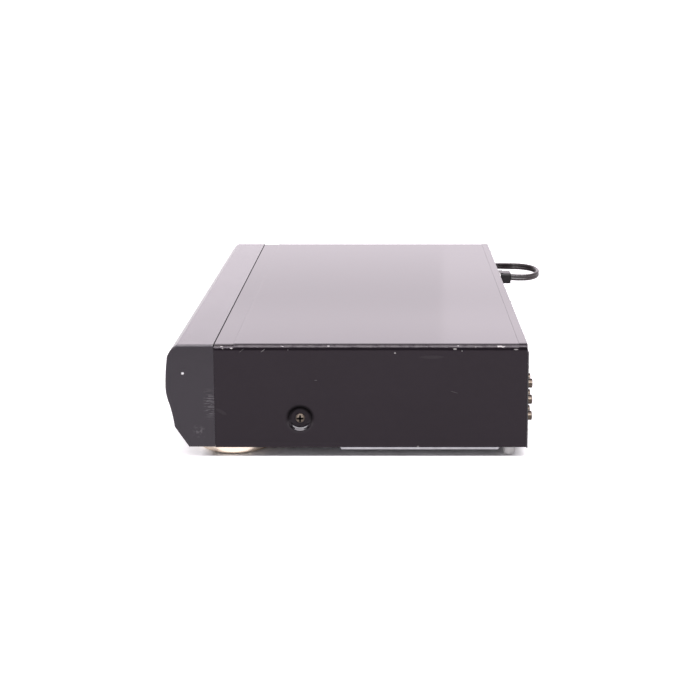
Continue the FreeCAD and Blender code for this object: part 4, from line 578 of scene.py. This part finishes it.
def core_laminations():
    finish = Finish("core_steel", (0.2, 0.19, 0.18), 0.5, Metallic=0.5)
    sheets = finish.noise(2500, 1, stretch=(0.01, 1, 0.01))
    finish.set(
        Base_Color=finish.mix(sheets, (0.13, 0.12, 0.11), (0.3, 0.28, 0.26)),
        Normal=finish.relief(sheets, 80 * MICRON),
    )
    return finish


FINISHES["board_green"] = board_green()
FINISHES["core_steel"] = core_laminations()
print("boards and transformer done, finishes so far:", len(FINISHES))


# %% [markdown]
# The sockets are black plastic blocks inside the rear panel and dark plated barrels outside it. The
# lead is soft PVC: matt, a little greasy, with dust in places. The barrels belong to the same solids as
# the blocks, so the plating starts in the material, at the panel's outer face, and stops short of the
# mains inlet, which is plastic all through.

# %% Sockets and lead
BLOCK_DARK, BLOCK_LIGHT = (0.018, 0.018, 0.018), (0.032, 0.032, 0.032)
PLATING_DARK, PLATING_LIGHT = (0.06, 0.048, 0.04), (0.11, 0.088, 0.07)
INLET_EDGE_X = -50 * MM
SHEATH = (0.034, 0.026, 0.027)


def socket_finish():
    finish = Finish("socket_black", (0.03, 0.03, 0.03), 0.35)
    x, y, _ = finish.axes()
    grain = finish.noise(1200, 3)
    plated = y.above(REAR_Y - 0.4 * MM, 0.1 * MM) * (1 - x.below(INLET_EDGE_X, 1 * MM))
    block = finish.mix(grain, BLOCK_DARK, BLOCK_LIGHT)
    finish.set(
        Base_Color=finish.mix(plated, block, finish.mix(grain, PLATING_DARK, PLATING_LIGHT)),
        Metallic=plated,
        Roughness=grain * 0.1 + 0.26,
        Normal=finish.relief(grain, 20 * MICRON),
    )
    return finish


def cord_sheath():
    finish = Finish("cord_black", SHEATH, 0.5, Specular_IOR_Level=0.45)
    grain = finish.noise(1500, 3)
    dust = finish.noise(45, 4).above(0.55, 0.2)
    dusty = tuple(2.2 * part + 0.01 for part in SHEATH)
    finish.set(
        Base_Color=finish.mix(dust * 0.4, SHEATH, dusty),
        Roughness=grain * 0.1 + 0.3,
        Normal=finish.relief(grain, 30 * MICRON),
    )
    return finish


FINISHES["socket_black"] = socket_finish()
FINISHES["cord_black"] = cord_sheath()
print("sockets and lead done, finishes so far:", len(FINISHES))

# %% [markdown]
# Each solid of the frame says which material slot it takes. Its stand-in material could stay beside
# the new one, but then a face might still point to it, so the old ones are cleared first.

# %% Finishes onto the solids
for entry in frame["record"]["subparts"]:
    solid = frame["nodes"][entry["node"]]
    solid.data.materials.clear()
    solid.data.materials.append(FINISHES[entry["material_slot"]].material)


# %% [markdown]
# The mains lead is flat twin flex: two round cores side by side with a shallow valley between them,
# 7.4 mm wide and 4.2 mm thick. It comes out of the connector standing on edge, turns back in a tight
# loop, drops down the left-hand side and is wound into a flat coil, with the plug beside it. A curve
# with a round bevel would be quicker, but it has no valley and no upright edge. So a smooth curve
# gives only the middle line, and the twin section is swept along it, kept upright, because such a
# flex bends only across its thin side.

# %% Route of the lead
CORD_WIDTH = 7.4
CORD_THICKNESS = 4.2
CORD_EXIT = (-140, 170.5, 76)
CORD_ROUTE = [
    (-140, 186.5, 75), (-149.5, 199.6, 75.3), (-164.9, 204.6, 76.4), (-180.3, 199.6, 77.4),
    (-189.8, 186.5, 77.5), (-195.5, 172, 76.5), (-208, 162.5, 74), (-227, 153, 69.5),
    (-235, 137.5, 61), (-238.5, 116, 49), (-239, 94, 36.3), (-238.2, 72, 24),
    (-237.4, 52, 15.3), (-237, 35, 12.2),
]
COIL_ENTRY = (-237, 20)
COIL_RADIUS, COIL_STEP = 48, 7.9
COIL_TURNS, CLIMB = 5, 0.25
COIL_LEVELS = (12.2, 4.3)
POINTS_PER_TURN = 16
TAIL_ROUTE = [(-237, -10, 4.3), (-239.5, -26, 5.5)]
PLUG_FACE = (-239.5, -42, 5.5)


def coil_point(turns):
    """In on the upper layer, down in the half turn that reverses the spiral, and out below."""
    middle = COIL_TURNS / 2
    reach = COIL_RADIUS - COIL_STEP * (middle - abs(turns - middle))
    descent = min(max((turns - middle + CLIMB) / (2 * CLIMB), 0), 1)
    share = (1 - math.cos(math.pi * descent)) / 2
    angle = -2 * math.pi * turns
    return (COIL_ENTRY[0] - COIL_RADIUS + reach * math.cos(angle),
            COIL_ENTRY[1] - CORD_WIDTH + reach * math.sin(angle),
            COIL_LEVELS[0] + share * (COIL_LEVELS[1] - COIL_LEVELS[0]))


coil = [coil_point(index / POINTS_PER_TURN) for index in range(COIL_TURNS * POINTS_PER_TURN + 1)]
lead_points = [CORD_EXIT, *CORD_ROUTE, (*COIL_ENTRY, COIL_LEVELS[0]), *coil, *TAIL_ROUTE, PLUG_FACE]
print("points on the lead's route:", len(lead_points))


# %% Middle line of the lead
def route_spline(name, points):
    """A smooth curve that has the points as its control points."""
    curve = bpy.data.curves.new(name, "CURVE")
    curve.dimensions = "3D"
    curve.resolution_u = 10
    spline = curve.splines.new("NURBS")
    spline.points.add(len(points) - 1)
    for point, spot in zip(spline.points, points):
        point.co = (*[MM * value for value in spot], 1)
    spline.order_u = 3
    spline.use_endpoint_u = True
    return bpy.data.objects.new(name, curve)


def centre_line(name, points):
    """The curve's own points, in metres."""
    route = route_spline(name, points)
    bpy.context.scene.collection.objects.link(route)
    bpy.context.view_layer.update()
    mesh = bpy.data.meshes.new_from_object(route.evaluated_get(bpy.context.evaluated_depsgraph_get()))
    line = [vertex.co.copy() for vertex in mesh.vertices]
    bpy.data.objects.remove(route)
    bpy.data.meshes.remove(mesh)
    return line


lead_line = centre_line("lead_route", lead_points)

# %% Section and sweep
LOBE_POINTS, LOBE_START, LOBE_STEP = 9, -52, 35.5
SMOOTH_UP_TO = math.radians(40)
UP = Vector((0, 0, 1))


def twin_section():
    """Outline of the flex, as (thickness, width) pairs: two lobes and the valleys between them."""
    lobe = CORD_THICKNESS / 2
    offset = CORD_WIDTH / 2 - lobe
    outline = []
    for side, turned in ((1, 0), (-1, math.pi)):
        for step in range(LOBE_POINTS):
            angle = math.radians(LOBE_START + LOBE_STEP * step) + turned
            outline.append((lobe * math.cos(angle), side * offset + lobe * math.sin(angle)))
    return outline


def bridged(mesh, here, there):
    """A band of faces between two closed rings of points."""
    for index in range(len(here)):
        following = (index + 1) % len(here)
        mesh.faces.new((here[index], here[following], there[following], there[index]))


def finished(name, mesh, finish):
    """A named object from the mesh, with smooth shading up to an angle."""
    bmesh.ops.recalc_face_normals(mesh, faces=mesh.faces)
    for edge in mesh.edges:
        edge.smooth = edge.calc_face_angle(0) < SMOOTH_UP_TO
    for face in mesh.faces:
        face.smooth = True
    data = bpy.data.meshes.new(name)
    mesh.to_mesh(data)
    mesh.free()
    data.materials.append(finish.material)
    piece = bpy.data.objects.new(name, data)
    bpy.context.scene.collection.objects.link(piece)
    return piece


def swept(name, line, outline, finish):
    """A tube of the outline along the line, with its long axis kept as upright as the line allows."""
    mesh = bmesh.new()
    rings = []
    for index, point in enumerate(line):
        ahead = line[min(index + 1, len(line) - 1)] - line[max(index - 1, 0)]
        way = ahead.normalized()
        across = way.cross(UP).normalized()
        upright = across.cross(way).normalized()
        rings.append([mesh.verts.new(point + across * (u * MM) + upright * (v * MM)) for u, v in outline])
    for before, after in zip(rings, rings[1:]):
        bridged(mesh, before, after)
    mesh.faces.new(rings[0][::-1])
    mesh.faces.new(rings[-1])
    return finished(name, mesh, finish)


lead = swept("twin_flex", lead_line, twin_section(), FINISHES["cord_black"])
print("lead faces", len(lead.data.polygons))

# %% Lead in the model
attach(lead, "case")
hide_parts("mains_cord", "mains_cord_coil", "mains_cord_tail")


# %% [markdown]
# Each phono barrel holds a coloured insert with the contact hole in its middle: white and red for
# sound, yellow for picture, orange for the digital output. Paint on the barrels' mouths could stand
# for them, but the hole would then be flat. They are turned rings, as on a lathe, set into the bores.

# %% Shape of an insert
RING_STEPS = 40
# Radius, and distance out from the insert's back, in millimetres.
INSERT_OUTLINE = [(1.75, 0.0), (3.2, 0.0), (3.2, 2.6), (2.9, 3.0), (2.2, 3.0), (1.75, 2.5)]


def ring(name, outline, centre, finish):
    """A lathe form about an axis along Y, with its centre in millimetres."""
    mesh = bmesh.new()
    loops = []
    for step in range(RING_STEPS):
        angle = 2 * math.pi * step / RING_STEPS
        loops.append([
            mesh.verts.new((
                MM * (centre[0] + reach * math.cos(angle)),
                MM * (centre[1] + out),
                MM * (centre[2] + reach * math.sin(angle)),
            ))
            for reach, out in outline
        ])
    for here, there in zip(loops, loops[1:] + loops[:1]):
        bridged(mesh, here, there)
    return finished(name, mesh, finish)


print("an insert is", INSERT_OUTLINE[3][1], "mm long")

# %% Inserts in their barrels
INSERT_COLOURS = {
    "yellow": (0.85, 0.6, 0.03),
    "white": (0.85, 0.84, 0.8),
    "red": (0.6, 0.02, 0.02),
    "orange": (0.85, 0.25, 0.02),
}
BARREL_LENGTH, INSERT_BACK = 9, 4
PHONO_X, PHONO_Z = (165, 149), (19.8, 34.8, 49.8)
ROW_COLOURS = ("red", "white", "yellow")
COAX_X = 118

insert_finishes = {name: plastic(f"insert_{name}", colour, 0.35) for name, colour in INSERT_COLOURS.items()}
insert_places = {
    f"insert_{column}{row}": (x, z, ROW_COLOURS[row])
    for column, x in enumerate(PHONO_X)
    for row, z in enumerate(PHONO_Z)
}
insert_places["insert_coax"] = (COAX_X, PHONO_Z[0], "orange")
insert_y = REAR_Y / MM + BARREL_LENGTH - INSERT_BACK
for name, (x, z, colour) in insert_places.items():
    insert = ring(name, INSERT_OUTLINE, (x, insert_y, z), insert_finishes[colour])
    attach(insert, "case")
print("socket inserts:", len(insert_places))


# %% [markdown]
# The photograph is a product shot on white, where the floor and the background burn out. Strong lamps
# on the floor would do that too, but they would wash out the player. So the white belongs to the floor
# and the sky themselves, and only for rays that see them directly, in a polished surface or through a
# clear one. The floor doesn't shine under the case, which leaves a painted shadow where the real one is
# dark.

# %% White floor and sky
ROOM_GREY, SKY_WHITE = 0.30, 1.2
SKY_COLOUR = (1, 0.93, 0.985)
FLOOR_COLOUR, FLOOR_WHITE = (0.86, 0.86, 0.86), (1, 0.97, 1)
FLOOR_SIDE = 14
UNLIT = (0, 0, 0)


def stage_plane(name, size, centre, turn=(0, 0, 0)):
    """A flat rectangle that isn't part of the player."""
    bpy.ops.mesh.primitive_plane_add(size=1, location=centre, rotation=turn)
    plane = bpy.context.object
    plane.name = name
    plane.scale = (*size, 1)
    return plane


def seen_directly(nodes):
    """1 for what the camera sees itself, in a polished surface or through a clear one."""
    camera = nodes.node("ShaderNodeLightPath", output="Is Camera Ray")
    glossy = nodes.node("ShaderNodeLightPath", output="Is Glossy Ray")
    clear = nodes.node("ShaderNodeLightPath", output="Is Transmission Ray")
    return camera.highest(glossy).highest(clear)


def floor_finish():
    """White paper that burns out where it is seen, and more so far away, but not under the case, where this
    leaves a painted shadow.
    """
    finish = Finish("floor_white", FLOOR_COLOUR, 0.8)
    x, y, _ = finish.split(finish.node("ShaderNodeNewGeometry"))
    # Painted shadow: the floor's glow is cut over the case's footprint.
    under_x = x.between(-SIDE_X, SIDE_X - 3 * MM, 1.2 * MM)
    under_y = y.between(FRONT_Y + 34 * MM, REAR_Y - 8 * MM, 6 * MM)
    far = radius(x, y).above(1.3, 0.5)
    burnt = seen_directly(finish) * (1 - under_x * under_y) * (0.6 + far * 0.6)
    finish.set(Emission_Color=finish.mix(burnt, UNLIT, FLOOR_WHITE), Emission_Strength=1.0)
    return finish


floor = stage_plane("floor", (FLOOR_SIDE, FLOOR_SIDE), (0, 0, 0))
floor.data.materials.append(floor_finish().material)

world = bpy.data.worlds.new("studio")
bpy.context.scene.world = world
world.use_nodes = True
sky = Nodes(world.node_tree)
strength = sky.node("ShaderNodeMapRange", Value=seen_directly(sky), To_Min=ROOM_GREY, To_Max=SKY_WHITE)
sky.feed(world.node_tree.nodes["Background"], Color=SKY_COLOUR, Strength=strength)
print("the room lights the player at", ROOM_GREY, "and is seen at", SKY_WHITE)


# %% [markdown]
# Three things shape the light in the photograph. A soft lamp hangs over the near side. A bright wall
# beyond the player makes the long grey reflection on its lid: brightest from 0.8 m up, weaker below,
# and carried on a little towards the rear. A window above and behind the camera shows only in shiny
# places, such as the wall of the screw's dish, so its lamp doesn't light matt surfaces. A picture of a
# room wrapped round the scene could light it too, but lamps can be placed one by one, until each
# reflection sits where the real one does.

# %% Lamps
LAMP_WHITE, WINDOW_WHITE = (1.0, 0.96, 1.0), (0.97, 0.98, 1.0)
WALL_WHITE = (1.0, 0.905, 0.985)
WALL_X = -2.6


def area_light(name, size, centre, target, power, colour):
    """A soft box that faces its target and isn't seen itself."""
    lamp = bpy.data.lights.new(name, "AREA")
    lamp.shape = "RECTANGLE"
    lamp.size, lamp.size_y = size
    lamp.energy = power
    lamp.color = colour
    light = bpy.data.objects.new(name, lamp)
    light.location = centre
    light.rotation_euler = (Vector(target) - Vector(centre)).to_track_quat("-Z", "Y").to_euler()
    light.visible_camera = False
    bpy.context.scene.collection.objects.link(light)
    return light


area_light("overhead", (2.2, 0.6), (0.75, 0.0, 1.9), (0.1, 0, 0), 38, LAMP_WHITE)
area_light("far_wall", (4.5, 1.3), (WALL_X, 0.0, 1.45), (0, 0, 1.45), 33.6, WALL_WHITE)
area_light("far_wall_low", (4.5, 0.6), (WALL_X, 0.0, 0.5), (0, 0, 0.5), 9.8, WALL_WHITE)
area_light("far_wall_rear", (1.2, 1.5), (-2.55, 0.8, 1.36), (0, 0.8, 1.36), 1.3, WALL_WHITE)
window = area_light("window", (3.4, 0.9), (1.59, -0.1, 1.12), (0.2, -0.04, 0.04), 120, WINDOW_WHITE)
window.visible_diffuse = False
print("lamps:", len(bpy.data.lights))


# %% [markdown]
# The side towards the camera is nearly black in the photograph, because the room in front of it is
# dark, and here its paint would mirror the white sky. Turning the sky down would darken what is rightly
# white. So three black boards that only reflections see stand where the dark room is: above, on the
# floor beyond a strip of white, and behind the camera.

# %% Black flags
FLAG_BLACK = (0.02, 0.018, 0.02)
FLAG_LENGTH = 8
FLOOR_FLAG_WIDTH, WHITE_STRIP = 2.4, 0.45


def black_flag(name, size, centre, turn=(0, 0, 0)):
    """A black board that only reflections see."""
    flag = stage_plane(name, size, centre, turn)
    flag.data.materials.append(Finish(name, FLAG_BLACK, 1.0).material)
    flag.visible_camera = False
    flag.visible_diffuse = False
    flag.visible_shadow = False


floor_flag_x = SIDE_X + WHITE_STRIP + FLOOR_FLAG_WIDTH / 2
black_flag("flag_above", (4.4, FLAG_LENGTH), (0.8, 0, 2.2))
black_flag("flag_on_floor", (FLOOR_FLAG_WIDTH, FLAG_LENGTH), (floor_flag_x, 0, 3 * MM))
black_flag("flag_behind_camera", (3, FLAG_LENGTH), (3.0, 0, 1.55), (0, math.radians(90), 0))
print("the floor stays white for", WHITE_STRIP, "m in front of the side")

# %% [markdown]
# The camera stands about a metre from the right-hand side and somewhat above the lid. It could be
# moved by eye until the picture fits. Here its place and lens are worked out from the photograph: the
# two upright edges of the near side, the seam and the far edge. The point that the lens looks at
# straight ahead isn't the picture's middle, so the sensor is shifted.

# %% Camera
CAMERA_PLACE = (1.2107, 0.0321, 0.3891)
PITCH = 8.0
FOCAL_PIXELS = 1209.9
AXIS_PIXEL = (389.7, 170.2)
IMAGE_PIXELS = 700
SENSOR = 36.0

camera_data = bpy.data.cameras.new("camera")
camera_data.sensor_width = SENSOR
camera_data.lens = FOCAL_PIXELS / IMAGE_PIXELS * SENSOR
camera_data.shift_x = (IMAGE_PIXELS / 2 - AXIS_PIXEL[0]) / IMAGE_PIXELS
camera_data.shift_y = (AXIS_PIXEL[1] - IMAGE_PIXELS / 2) / IMAGE_PIXELS
camera = bpy.data.objects.new("camera", camera_data)
camera.location = CAMERA_PLACE
camera.rotation_euler = (math.radians(90 - PITCH), 0, math.radians(90))
bpy.context.scene.collection.objects.link(camera)
bpy.context.scene.camera = camera
bpy.context.scene.view_settings.view_transform = "Standard"
print("lens", round(camera_data.lens, 1), "mm")
